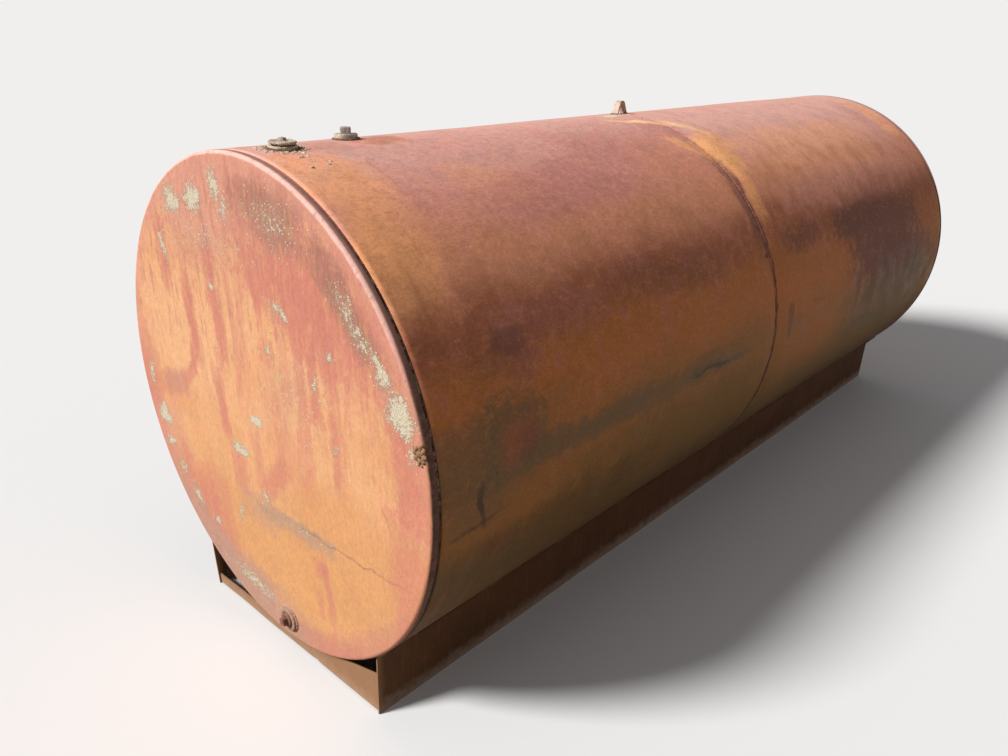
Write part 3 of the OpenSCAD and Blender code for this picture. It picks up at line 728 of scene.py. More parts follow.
def rust_finish(name, main, light, dark, scale, depth, rough=(0.62, 0.88)):
    """Weathered metal in three tones, with pits and streaks that run down"""
    material, graph, shader, place = new_finish(name)
    cloud = graph.noise(graph.drift(place, 8.0, 0.05), scale * 0.16, 6.0, 0.62)
    mottle = graph.noise(place, scale, 7.0, 0.70)
    fine = graph.noise(place, scale * 9.0, 4.0, 0.62)
    runs = graph.noise(place, (95.0, 95.0, 9.0), 5.0, 0.6)
    colour = graph.blend(graph.fade(cloud, 0.36, 0.62), main, light)
    colour = graph.blend(graph.times(graph.fade(mottle, 0.48, 0.66), 0.75), colour, dark)
    colour = graph.blend(graph.times(graph.fade(runs, 0.52, 0.68), 0.45), colour, light)
    colour = graph.vector("SCALE", colour, scale=graph.plus(graph.times(fine, 0.70), 0.65))
    pits = graph.fade(graph.noise(place, scale * 3.2, 5.0, 0.72), 0.60, 0.70)
    colour = graph.blend(graph.times(pits, 0.45), colour, "soot")
    roughness = graph.fade(mottle, 0.30, 0.70, *rough)
    bumps = graph.less(graph.plus(fine, mottle), pits)
    close_finish(graph, shader, colour, roughness, bumps, depth)
    return material


def groove_finish():
    """Rust in the groove round a head, with lichen between: nearly black on the sides, partly a dark joint
    and partly painted shadow behind the flange, and lighter mauve on top as painted light
    """
    material, graph, shader, place = new_finish("groove_weld")
    height = graph.less(graph.add("ShaderNodeSeparateXYZ", place).outputs[2], AXIS_Z)
    mottle = graph.noise(place, 60.0, 6.0, 0.72)
    fine = graph.noise(place, 300.0, 4.0, 0.7)
    # Nearly black low down and on the sides as painted shadow; mauve on top as painted light where light
    # falls
    colour = graph.blend(graph.fade(mottle, 0.40, 0.62), "soot", "bead")
    colour = graph.blend(graph.fade(height, 0.40, 0.63), colour, "mauve")
    belt = graph.times(graph.fade(height, -0.10, 0.05), graph.fade(height, 0.52, 0.40))
    specks = graph.times(graph.fade(mottle, 0.50, 0.58), graph.times(belt, 0.45))
    colour = graph.blend(specks, colour, "moss")
    close_finish(graph, shader, colour, 0.85, graph.plus(mottle, fine), 0.0010)
    return material


def skid_finish():
    """Red-brown primer on the skids, darkened all over as painted shade, dusty along the ground, and pale
    at the front ends as painted light
    """
    material, graph, shader, place = new_finish("skid_primer")
    split = graph.add("ShaderNodeSeparateXYZ", place).outputs
    cloud = graph.noise(graph.drift(place, 6.0, 0.08), 6.0, 6.0, 0.62)
    mottle = graph.noise(place, 38.0, 7.0, 0.70)
    runs = graph.noise(place, (80.0, 80.0, 8.0), 5.0, 0.62)
    fine = graph.noise(place, 420.0, 3.0, 0.6)
    # The skid tone is the primer darkened as painted shade
    colour = graph.blend(graph.times(graph.fade(cloud, 0.40, 0.70), 0.5), "skid", "rust")
    colour = graph.blend(graph.times(graph.fade(mottle, 0.50, 0.66), 0.40), colour, "rust")
    colour = graph.blend(graph.times(graph.fade(runs, 0.52, 0.66), 0.14), colour, "umber")
    raised = graph.plus(split[2], graph.times(graph.less(mottle, 0.5), 0.07))
    dust = graph.fade(raised, 0.050, 0.0)
    colour = graph.blend(graph.times(dust, 0.55), colour, "leaf")
    # Painted light: the front ends and the front cross plate turn pale tan
    lit = graph.less(split[1], FRONT_Y)
    lit_front_ends = graph.fade(lit, 0.036, 0.012)
    colour = graph.blend(graph.times(lit_front_ends, 0.75), colour, "tan")
    colour = graph.vector("SCALE", colour, scale=graph.plus(graph.times(fine, 0.5), 0.75))
    pits = graph.fade(graph.noise(place, 150.0, 5.0, 0.72), 0.61, 0.70)
    colour = graph.blend(graph.times(pits, 0.45), colour, "soot")
    bumps = graph.less(graph.plus(fine, mottle), pits)
    close_finish(graph, shader, colour, graph.fade(mottle, 0.3, 0.7, 0.60, 0.82), bumps, 0.0006)
    return material


def floor_finish():
    """Plain pale floor, less bright to anything but the camera's eye"""
    material, graph, shader, _ = new_finish("studio_floor")
    rays = graph.add("ShaderNodeLightPath").outputs
    seen = graph.math("MAXIMUM", rays["Is Camera Ray"], rays["Is Glossy Ray"])
    graph.put(shader.inputs["Base Color"], graph.blend(seen, "ground", "floor"))
    shader.inputs["Roughness"].default_value = 1.0
    shader.inputs["Specular IOR Level"].default_value = 0.0
    return material


FINISHES = {
    "shell": shell_finish,
    "head_front": lambda: head_finish("head_primer", HEAD_MARKS),
    "head_rear": lambda: head_finish("head_primer_rear", REAR_HEAD_MARKS, rear=True),
    "skid": skid_finish,
    "groove": groove_finish,
    "lichen": growth_finish,
    "floor": floor_finish,
}
# Weathered metals and dirt: material, main, light and dark tone, scale, depth and roughness
RUSTS = {
    "fillet": ("fillet_weld", "rust", "slate", "soot", 90.0, 0.0006),
    "bung": ("bung_crust", "dust", "cream", "iron", 140.0, 0.0012),
    "plug": ("plug_iron", "iron", "cream", "rust", 120.0, 0.0010),
    "vent": ("vent_iron", "pewter", "dust", "iron", 150.0, 0.0008),
    "dusty": ("drain_fillet", "ash", "smear", "stain", 90.0, 0.0006),
    "drain": ("drain_iron", "ash", "smear", "stain", 90.0, 0.0008),
    "drain_plug": ("drain_plug_rust", "stain", "bead", "soot", 110.0, 0.0010),
    "lug": ("lug_primer", "lug", "dust", "umber", 90.0, 0.0007),
    "leaf": ("leaf_scraps", "leaf", "cream", "iron", 160.0, 0.0004, (0.80, 0.95)),
    "mud": ("dried_mud", "mud", "tan", "soot", 170.0, 0.0010, (0.85, 0.95)),
}


@cache
def finish(name):
    """The material of that name, made once"""
    return rust_finish(*RUSTS[name]) if name in RUSTS else FINISHES[name]()


def linked(name, data):
    """An object with its data, in the scene"""
    thing = bpy.data.objects.new(name, data)
    bpy.context.scene.collection.objects.link(thing)
    return thing


def piece_from_mesh(name, mesh, finish_name, slot_name, *nodes):
    """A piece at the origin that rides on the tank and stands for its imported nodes"""
    piece = linked(name, mesh)
    if finish_name:
        mesh.materials.clear()
        mesh.materials.append(finish(finish_name))
    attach(piece, ON_TANK)
    if nodes:
        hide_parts(*nodes)


def baked(source, name):
    """A plain mesh of an object with its modifiers, which is then removed"""
    bpy.context.view_layer.update()
    depsgraph = bpy.context.evaluated_depsgraph_get()
    mesh = bpy.data.meshes.new_from_object(source.evaluated_get(depsgraph), depsgraph=depsgraph)
    mesh.name = name
    old = source.data
    bpy.data.objects.remove(source)
    bpy.data.meshes.remove(old)
    return mesh


def new_rule(name, sockets):
    """A geometry tree with named inputs, its graph and its input sockets"""
    tree = bpy.data.node_groups.new(name, "GeometryNodeTree")
    tree.interface.new_socket("Geometry", in_out="INPUT", socket_type="NodeSocketGeometry")
    for label, kind, value in sockets:
        socket = tree.interface.new_socket(label, in_out="INPUT", socket_type="NodeSocket" + kind)
        if value is not None:
            socket.default_value = value
    tree.interface.new_socket("Geometry", in_out="OUTPUT", socket_type="NodeSocketGeometry")
    graph = Graph(tree)
    return graph, graph.add("NodeGroupInput").outputs


def close_rule(graph, shape, material):
    """Ends a geometry tree with real, smooth faces in one material"""
    real = graph.add("GeometryNodeRealizeInstances", shape).outputs[0]
    smooth = graph.add("GeometryNodeSetShadeSmooth", real).outputs[0]
    painted = graph.add("GeometryNodeSetMaterial", smooth, named={"Material": material}).outputs[0]
    graph.add("NodeGroupOutput", painted)


def set_rule(source, tree, **values):
    """Adds a geometry tree to an object and sets its inputs by their identifiers"""
    modifier = source.modifiers.new(tree.name, "NODES")
    modifier.node_group = tree
    for item in tree.interface.items_tree:
        key = item.name.lower().replace(" ", "_")
        if item.in_out == "INPUT" and key in values:
            modifier[item.identifier] = values[key]


@cache
def course_rule():
    """A rolled course: a tube whose plate wanders and is drawn in at the girth seam"""
    graph, given = new_rule("Rolled course", (
        ("Radius", "Float", 0.6), ("Start", "Float", 0.0), ("Length", "Float", 1.0),
        ("Axis Height", "Float", 0.6), ("Columns", "Int", 200), ("Rows", "Int", 80),
        ("Waviness", "Float", 0.002), ("Waist", "Float", 0.001), ("Seam", "Float", 0.0),
        ("Waist Width", "Float", 0.09), ("Seed", "Float", 1.0), ("Material", "Material", None)))
    grid = graph.add("GeometryNodeMeshGrid", 1.0, 1.0, given["Columns"], given["Rows"]).outputs[0]
    split = graph.add("ShaderNodeSeparateXYZ", graph.add("GeometryNodeInputPosition").outputs[0]).outputs
    angle = graph.times(graph.plus(split[0], 0.5), 2 * math.pi)
    share = graph.plus(split[1], 0.5)
    along = graph.math("MULTIPLY_ADD", share, given["Length"], given["Start"])
    spoke = graph.add("ShaderNodeCombineXYZ", graph.math("SINE", angle), 0.0,
                      graph.math("COSINE", angle)).outputs[0]
    lift = graph.add("ShaderNodeCombineXYZ", 0.0, along, 0.0).outputs[0]
    field = graph.vector("ADD", graph.vector("SCALE", spoke, scale=given["Radius"]), lift)
    cloud = graph.add("ShaderNodeTexNoise", noise_dimensions="4D", named={
        "Vector": field, "W": given["Seed"], "Scale": 2.1, "Detail": 2.0}).outputs[0]
    nearer = graph.math("MINIMUM", share, graph.less(1.0, share))
    from_end = graph.times(nearer, given["Length"])
    held = graph.fade(from_end, 0.0, 0.16)
    sag = graph.times(graph.times(graph.fade(cloud, 0.25, 0.75), held), given["Waviness"])
    reach = graph.math("ABSOLUTE", graph.less(along, given["Seam"]))
    near = graph.math("POWER", graph.fade(reach, given["Waist Width"], 0.0), 1.6)
    from_top = graph.math("MINIMUM", angle, graph.less(2 * math.pi, angle))
    clear = graph.fade(from_top, 0.0, WAIST_CLEAR)
    waist = graph.times(graph.times(near, clear), given["Waist"])
    radius = graph.less(graph.less(given["Radius"], sag), waist)
    wrapped = graph.vector("SCALE", spoke, scale=radius)
    base = graph.add("ShaderNodeCombineXYZ", 0.0, along, given["Axis Height"]).outputs[0]
    placed = graph.add("GeometryNodeSetPosition", grid, named={
        "Position": graph.vector("ADD", wrapped, base)}).outputs[0]
    joined = graph.add("GeometryNodeMergeByDistance", placed, named={"Distance": 0.0001}).outputs[0]
    close_rule(graph, joined, given["Material"])
    return graph.tree


@cache
def bead_rule():
    """A weld bead: overlapping ripples along a path, turned by the path's own up direction"""
    graph, given = new_rule("Weld bead", (
        ("Pitch", "Float", 0.004), ("Bead Width", "Float", 0.013), ("Bead Height", "Float", 0.005),
        ("Ripple Length", "Float", 0.009), ("Roughness", "Float", 0.12), ("Seed", "Int", 1),
        ("Material", "Material", None)))
    path = graph.add("GeometryNodeMeshToCurve", given["Geometry"]).outputs[0]
    spaced = graph.add("GeometryNodeResampleCurve", path, mode="LENGTH", named={
        "Length": given["Pitch"]}).outputs[0]
    up = graph.add("GeometryNodeInputNamedAttribute", "up", data_type="FLOAT_VECTOR").outputs[0]
    ripple = graph.add("GeometryNodeMeshUVSphere", 8, 5, 0.5).outputs[0]
    tangent = graph.add("GeometryNodeInputTangent").outputs[0]
    turned = graph.add("FunctionNodeAlignRotationToVector", axis="X", named={"Vector": tangent}).outputs[0]
    stood = graph.add("FunctionNodeAlignRotationToVector", axis="Z", pivot_axis="X", named={
        "Rotation": turned, "Vector": up}).outputs[0]
    jitter = graph.add("FunctionNodeRandomValue", data_type="FLOAT", named={"Seed": given["Seed"]})
    graph.put(jitter.inputs[2], graph.less(1.0, given["Roughness"]))
    graph.put(jitter.inputs[3], graph.plus(1.0, given["Roughness"]))
    size = graph.add("ShaderNodeCombineXYZ", given["Ripple Length"], given["Bead Width"],
                     given["Bead Height"]).outputs[0]
    scale = graph.vector("SCALE", size, scale=jitter.outputs[1])
    spread = graph.add("GeometryNodeInstanceOnPoints", spaced, named={
        "Instance": ripple, "Rotation": stood, "Scale": scale}).outputs[0]
    close_rule(graph, spread, given["Material"])
    return graph.tree


@cache
def scatter_rule():
    """Small flakes scattered over a surface where its growth value says so"""
    graph, given = new_rule("Scattered flakes", (
        ("Density", "Float", 20000.0), ("Small", "Float", 0.002), ("Large", "Float", 0.006),
        ("Thickness", "Float", 0.0012), ("Sides", "Int", 7), ("Tilt", "Float", 0.1),
        ("Seed", "Int", 1), ("Material", "Material", None)))
    growth = graph.add("GeometryNodeInputNamedAttribute", "growth", data_type="FLOAT").outputs[0]
    amount = graph.times(growth, given["Density"])
    points = graph.add("GeometryNodeDistributePointsOnFaces", given["Geometry"], named={
        "Density": amount, "Seed": given["Seed"]})
    flake = graph.add("GeometryNodeMeshUVSphere", given["Sides"], 4, 0.5).outputs[0]
    spin = graph.add("FunctionNodeRandomValue", data_type="FLOAT_VECTOR", named={"Seed": given["Seed"]})
    tilt = graph.times(given["Tilt"], -1.0)
    for socket, angle, half_turn in ((0, tilt, -math.pi), (1, given["Tilt"], math.pi)):
        corner = graph.add("ShaderNodeCombineXYZ", angle, angle, half_turn).outputs[0]
        graph.put(spin.inputs[socket], corner)
    turn = graph.add("FunctionNodeEulerToRotation", spin.outputs[0]).outputs[0]
    rotation = graph.add("FunctionNodeRotateRotation", points.outputs["Rotation"], turn,
                         rotation_space="LOCAL").outputs[0]
    chance = graph.add("FunctionNodeRandomValue", data_type="FLOAT", named={"Seed": given["Seed"]})
    rare = graph.math("POWER", chance.outputs[1], 3.0)
    width = graph.fade(rare, 0.0, 1.0, given["Small"], given["Large"])
    size = graph.add("ShaderNodeCombineXYZ", width, graph.times(width, 0.8),
                     given["Thickness"]).outputs[0]
    spread = graph.add("GeometryNodeInstanceOnPoints", points.outputs[0], named={
        "Instance": flake, "Rotation": rotation, "Scale": size}).outputs[0]
    close_rule(graph, spread, given["Material"])
    return graph.tree


def path_mesh(name, runs):
    """A mesh of edges along runs of points, each point with the direction that is up there"""
    mesh = bpy.data.meshes.new(name)
    points, edges, ups = [], [], []
    for run, directions, closed in runs:
        first = len(points)
        points.extend(tuple(point) for point in run)
        ups.extend(tuple(up) for up in directions)
        edges.extend((first + i, first + i + 1) for i in range(len(run) - 1))
        if closed:
            edges.append((first + len(run) - 1, first))
    mesh.from_pydata(points, edges, [])
    layer = mesh.attributes.new("up", "FLOAT_VECTOR", "POINT")
    layer.data.foreach_set("vector", np.array(ups, np.float32).ravel())
    return mesh


def outward(spot):
    """The direction from the tank's axis to a point"""
    return Vector((spot.x, 0.0, spot.z - AXIS_Z)).normalized()


def turns(steps):
    """Angles once round, evenly apart"""
    return [2 * math.pi * i / steps for i in range(steps)]


def eased(share):
    """A smooth step of a share between none and all"""
    share = max(0.0, min(1.0, share))
    return share * share * (3 - 2 * share)


def round_run(radius, y, steps=240):
    """A closed run of points round the tank's axis, with up pointing away from it"""
    ups = [Vector((math.sin(a), 0.0, math.cos(a))) for a in turns(steps)]
    base = Vector((0.0, y, AXIS_Z))
    return [base + up * radius for up in ups], ups, True


def line_run(start, end, up, steps=8):
    """A straight run of points"""
    a, b = Vector(start), Vector(end)
    return [a.lerp(b, i / steps) for i in range(steps + 1)], [Vector(up)] * (steps + 1), False


def weld_piece(name, runs, bead, finish_name, node, seed):
    """A weld bead piece along runs, which stands for an imported weld"""
    ripple = bpy.context.scene.tank_sizes.ripple
    source = linked(name + "_path", path_mesh(name + "_path", runs))
    set_rule(source, bead_rule(), pitch=ripple, bead_width=bead[0], bead_height=bead[1],
             ripple_length=ripple * RIPPLE_STRETCH, roughness=RIPPLE_CHANCE, seed=seed,
             material=finish(finish_name))
    piece_from_mesh(name, baked(source, name), None, "weld_metal", node)


def finished(name, made, sharp=None, turned=True):
    """A smooth mesh from a bmesh, its faces turned outwards and its edges sharp past an angle"""
    if turned:
        bmesh.ops.recalc_face_normals(made, faces=made.faces)
    mesh = bpy.data.meshes.new(name)
    made.to_mesh(mesh)
    made.free()
    mesh.polygons.foreach_set("use_smooth", [True] * len(mesh.polygons))
    if sharp:
        mesh.set_sharp_from_angle(angle=math.radians(sharp))
    return mesh


def swept(made, rings):
    """Joins closed rings of points with faces"""
    for a, b in zip(rings, rings[1:]):
        for i in range(len(a)):
            j = (i + 1) % len(a)
            made.faces.new((a[i], a[j], b[j], b[i]))


def lathe_mesh(name, profile, steps, to_world, closed=False):
    """A mesh turned round its own Z axis from (radius, height) points, moved by a matrix"""
    made = bmesh.new()
    rings = []
    for radius, height in profile:
        angles = turns(steps) if radius > 0.0 else [0.0]
        spots = [Vector((radius * math.cos(a), radius * math.sin(a), height)) for a in angles]
        rings.append([made.verts.new(to_world @ spot) for spot in spots])
    pairs = list(zip(rings, rings[1:]))
    if closed:
        pairs.append((rings[-1], rings[0]))
    for lower, upper in pairs:
        for i in range(steps):
            j = (i + 1) % steps
            quad = (lower[i % len(lower)], lower[j % len(lower)],
                    upper[j % len(upper)], upper[i % len(upper)])
            corners = list(dict.fromkeys(quad))
            if len(corners) > 2:
                made.faces.new(corners)
    return finished(name, made)


def box_mesh(name, half_width, bottom, top, to_world, bevel, cuts=6):
    """A square block with rounded edges, cut fine enough to be roughened"""
    made = bmesh.new()
    bmesh.ops.create_cube(made, size=1.0)
    size = Vector((2 * half_width, 2 * half_width, top - bottom))
    for vert in made.verts:
        vert.co = vert.co * size + Vector((0.0, 0.0, (top + bottom) / 2))
    bmesh.ops.bevel(made, geom=made.edges[:], offset=bevel, segments=3, profile=0.6, affect="EDGES")
    long_edges = [edge for edge in made.edges if edge.calc_length() > min(size) * 0.4]
    bmesh.ops.subdivide_edges(made, edges=long_edges, cuts=cuts, use_grid_fill=True)
    made.transform(to_world)
    return finished(name, made)


def joined(name, *meshes):
    """One mesh from several, their faces left as they are"""
    made = bmesh.new()
    for mesh in meshes:
        made.from_mesh(mesh)
        bpy.data.meshes.remove(mesh)
    return finished(name, made, turned=False)


def roughened(mesh, reach, scale, seed, inwards=True):
    """Pushes a mesh's points along their normals by noise"""
    normals = [vertex.normal.copy() for vertex in mesh.vertices]
    for vertex, normal in zip(mesh.vertices, normals):
        spot = vertex.co * scale + Vector((seed, seed * 1.7, seed * 2.3))
        value = noise.fractal(spot, 0.9, 2.1, 3)
        value = min(0.0, value - 0.2) if inwards else value
        vertex.co += normal * (reach * value)
    mesh.update()
    return mesh


def stand(place, normal):
    """The matrix that stands a shape at a point with its Z axis along a normal"""
    return Matrix.Translation(place) @ Vector(normal).to_track_quat("Z", "Y").to_matrix().to_4x4()


class TANK_OT_shell(Operator):
    """Builds the shell's two rolled courses"""
    bl_idname = "tank.shell"
    bl_label = "Build Shell"

    def execute(self, context):
        sizes = context.scene.tank_sizes
        for seed, node in enumerate(("shell_course_front", "shell_course_rear")):
            low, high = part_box(node)
            length = high.y - low.y
            source = linked(node + "_plate", bpy.data.meshes.new(node + "_plate"))
            set_rule(source, course_rule(), radius=RADIUS, start=low.y, length=length,
                     axis_height=AXIS_Z, columns=sizes.columns + 1, rows=int(length / COURSE_ROW) + 1,
                     waviness=sizes.waviness, waist=sizes.waist, seam=SEAM_Y, waist_width=0.09,
                     seed=3.0 + seed, material=finish("shell"))
            wall = source.modifiers.new("Wall", "SOLIDIFY")
            wall.thickness = sizes.plate
            wall.offset = -1.0
            piece_from_mesh(node + "_skin", baked(source, node + "_skin"), None, "shell_paint", node)
        return {"FINISHED"}


def quarter(middle_x, middle_y, radius, steps, first=1):
    """Points of a knuckle's quarter circle, from the face to the flange"""
    angles = [math.pi / 2 * i / steps for i in range(first, steps + 1)]
    return [(middle_x + radius * math.sin(a), middle_y - radius * math.cos(a)) for a in angles]


def head_profile(sizes):
    """Half section of a head: (distance from the axis, depth behind the face)"""
    knuckle = sizes.knuckle
    flat = RADIUS - knuckle
    bore = RADIUS - sizes.plate
    points = [(flat * i / HEAD_RINGS, 0.0) for i in range(HEAD_RINGS + 1)]
    points += quarter(flat, knuckle, knuckle, 10)
    points += [(RADIUS, HEAD_DEPTH - HEAD_LIP), (RADIUS - HEAD_LIP, HEAD_DEPTH), (bore, HEAD_DEPTH)]
    points += quarter(flat, knuckle, knuckle - sizes.plate, 5, first=0)[::-1]
    return points + [(0.0, sizes.plate)]


def canned(mesh, depth, seed):
    """Lets a head's flat plate wander, more in its middle than at its knuckle"""
    for vertex in mesh.vertices:
        x, y, z = vertex.co
        share = eased((RADIUS - 0.025 - math.hypot(x, z - AXIS_Z)) / 0.16)
        broad = noise.noise(Vector((x * 2.6, seed, z * 2.6)))
        small = noise.noise(Vector((x * 7.5, seed + 5.0, z * 7.5)))
        vertex.co.y = y + depth * share * (broad + 0.22 * small)
    mesh.update()


def growth_at(x, z, patches):
    """How thickly lichen grows at a point of the head"""
    value = 0.0
    for px, pz, rx, rz, turn, amount in patches:
        a = math.radians(-turn)
        dx, dz = x - px, z - pz
        u = (dx * math.cos(a) - dz * math.sin(a)) / rx
        v = (dx * math.sin(a) + dz * math.cos(a)) / rz
        value = max(value, amount * max(0.0, 1.0 - math.hypot(u, v)))
    return value


def grown(mesh, values):
    """Gives a mesh's points their density of growth"""
    layer = mesh.attributes.new("growth", "FLOAT", "POINT")
    layer.data.foreach_set("value", np.array(values, np.float32))


def sown(mesh, patches):
    """Gives a head's mesh its lichen density, ragged at the patches' edges"""
    values = []
    for vertex in mesh.vertices:
        x, z = vertex.co.x, vertex.co.z - AXIS_Z
        spot = Vector((x, 3.0, z)) * 22.0
        x += 0.020 * noise.noise(spot)
        z += 0.020 * noise.noise(spot + Vector((7.0, 0.0, 0.0)))
        values.append(growth_at(x, z, patches))
    grown(mesh, values)


class TANK_OT_heads(Operator):
    """Builds the two flat flanged heads"""
    bl_idname = "tank.heads"
    bl_label = "Build Heads"

    def execute(self, context):
        sizes = context.scene.tank_sizes
        profile = head_profile(sizes)
        ends = (("head_front", FRONT_Y, 1.0, HEAD_LICHEN), ("head_rear", REAR_Y, -1.0, REAR_LICHEN))
        for node, y, inwards, patches in ends:
            to_world = stand((0.0, y, AXIS_Z), (0.0, inwards, 0.0))
            mesh = lathe_mesh(node + "_skin", profile, HEAD_SPOKES, to_world)
            canned(mesh, sizes.oilcan, 2.0 + inwards)
            sown(mesh, patches)
            piece_from_mesh(node + "_skin", mesh, node, "head_paint", node)
        return {"FINISHED"}


class TANK_OT_welds(Operator):
    """Builds the girth, long and head welds as rippled beads"""
    bl_idname = "tank.welds"
    bl_label = "Build Welds"

    def seam_run(self, sizes):
        """The girth seam's run, drawn in where the shell's waist is and level on top"""
        run, ups, closed = round_run(RADIUS, SEAM_Y)
        drawn = []
        for i, (spot, up) in enumerate(zip(run, ups)):
            from_top = min(i, len(ups) - i) / len(ups) * 2 * math.pi
            drawn.append(spot + up * (SEAM_LIFT - sizes.waist * eased(from_top / WAIST_CLEAR)))
        return drawn, ups, closed

    def execute(self, context):
        seam = self.seam_run(context.scene.tank_sizes)
        weld_piece("girth_bead", [seam], GIRTH_BEAD, "shell", "girth_weld", 3)
        for end, y, seed in (("front", FRONT_Y + GROOVE_DEPTH, 5), ("rear", REAR_Y - GROOVE_DEPTH, 7)):
            weld_piece("groove_bead_" + end, [round_run(RADIUS - 0.0030, y)], GROOVE_BEAD,
                       "groove", "head_weld_" + end, seed)
        for end in ("front", "rear"):
            node = "long_weld_" + end
            low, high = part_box(node)
            up = outward(middle(node))
            root = up * (RADIUS - 0.0006) + Vector((0.0, 0.0, AXIS_Z))
            run = line_run((root.x, low.y + 0.004, root.z), (root.x, high.y - 0.004, root.z), up, 60)
            weld_piece("long_bead_" + end, [run], LONG_BEAD, "shell", node, 9)
        return {"FINISHED"}


def skid_section(side):
    """Section of the right skid's bent plate, side metres outwards of its mid line"""
    mid = RADIUS + SKID_SEAT + HALF_PLATE
    centre_x = SKID_TOP_X + SKID_BEND
    centre_z = -math.sqrt((mid + SKID_BEND) ** 2 - centre_x ** 2)
    start = math.atan2(centre_z, centre_x)
    strip = SKID_STRIP / mid
    radius = SKID_BEND - side
    top_x = centre_x - radius * math.cos(SKID_LEAN)
    top_z = centre_z + radius * math.sin(SKID_LEAN)
    points = []
    for i in range(11):
        z = -AXIS_Z + (top_z + AXIS_Z) * i / 10
        points.append((top_x - (top_z - z) * math.tan(SKID_LEAN), z))
    for i in range(1, 13):
        a = math.pi - SKID_LEAN + i / 12 * (start + SKID_LEAN)
        points.append((centre_x + radius * math.cos(a), centre_z + radius * math.sin(a)))
    for i in range(1, 9):
        a = start + i / 8 * strip
        points.append(((mid + side) * math.cos(a), (mid + side) * math.sin(a)))
    return points


def skid_mesh(name, mirror, bow):
    """A skid: the bent plate drawn along the tank, bowed a little"""
    low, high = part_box("skid_right")
    outer, inner = skid_section(HALF_PLATE), skid_section(-HALF_PLATE)
    count = len(outer)
    pairs = list(zip(outer, inner)) + list(zip(inner, outer))[::-1]
    made = bmesh.new()
    rings = []
    for row in range(SKID_ROWS + 1):
        share = row / SKID_ROWS
        inside = 0 < row < SKID_ROWS
        shrink = 1.0 if inside else 1.0 - 0.0006 / HALF_PLATE
        held = math.sin(math.pi * share) ** 0.5 if inside else 0.0
        y = low.y + (high.y - low.y) * share
        ring = []
        for (x, z), twin in pairs:
            px = (x + twin[0]) / 2 + (x - twin[0]) / 2 * shrink
            pz = (z + twin[1]) / 2 + (z - twin[1]) / 2 * shrink
            drop = max(0.0, min(1.0, (-0.49 - pz) / 0.18))
            wave = noise.noise(Vector((y * 2.3, 4.0 if mirror else 9.0, pz * 3.0)))
            px += bow * drop * (0.35 + 0.65 * held) * wave
            ring.append(made.verts.new((-px if mirror else px, y, pz + AXIS_Z)))
        rings.append(ring)
    swept(made, rings)
    for ring in (rings[0], rings[-1]):
        for i in range(count - 1):
            made.faces.new((ring[i], ring[i + 1], ring[-2 - i], ring[-1 - i]))
    return finished(name, made, sharp=40)


def plate_mesh(name, node, facing):
    """A cross plate with its raised corner, bent slightly and rounded at its edges"""
    low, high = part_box(node)
    foot = low.z
    edge = 0.0005
    knee_x, knee_top = CROSS_KNEE
    made = bmesh.new()
    rings = []
    for column in range(CROSS_COLUMNS + 1):
        x = low.x + (high.x - low.x) * column / CROSS_COLUMNS
        if x > knee_x:
            top = knee_top + (high.z - knee_top) * min(1.0, (x - knee_x) / (WEB_X - knee_x))
        else:
            rise = knee_top - CROSS_LEFT_TOP
            top = CROSS_LEFT_TOP + rise * max(0.0, (x + WEB_X) / (knee_x + WEB_X))
        wave = 0.0022 * noise.noise(Vector((x * 6.0, 2.0, 1.0)))
        crease = 0.0020 * math.exp(-((x - 0.12) / 0.012) ** 2)
        y = (low.y + high.y) / 2 + (wave + crease) * facing
        tall = top - foot
        side = ((foot, HALF_PLATE - edge), (foot + edge, HALF_PLATE), (foot + tall * 0.35, HALF_PLATE),
                (foot + tall * 0.7, HALF_PLATE), (top - edge, HALF_PLATE), (top, HALF_PLATE - edge))
        section = [(z, -depth) for z, depth in side] + [(z, depth) for z, depth in side[::-1]]
        ring = []
        for z, depth in section:
            squeeze = 1.0 - math.tan(SKID_LEAN) * (high.z - z) / WEB_X
            ring.append(made.verts.new((x * squeeze, y + depth, z)))
        rings.append(ring)
    swept(made, rings)
    made.faces.new(rings[0])
    made.faces.new(rings[-1][::-1])
    return finished(name, made, sharp=40)


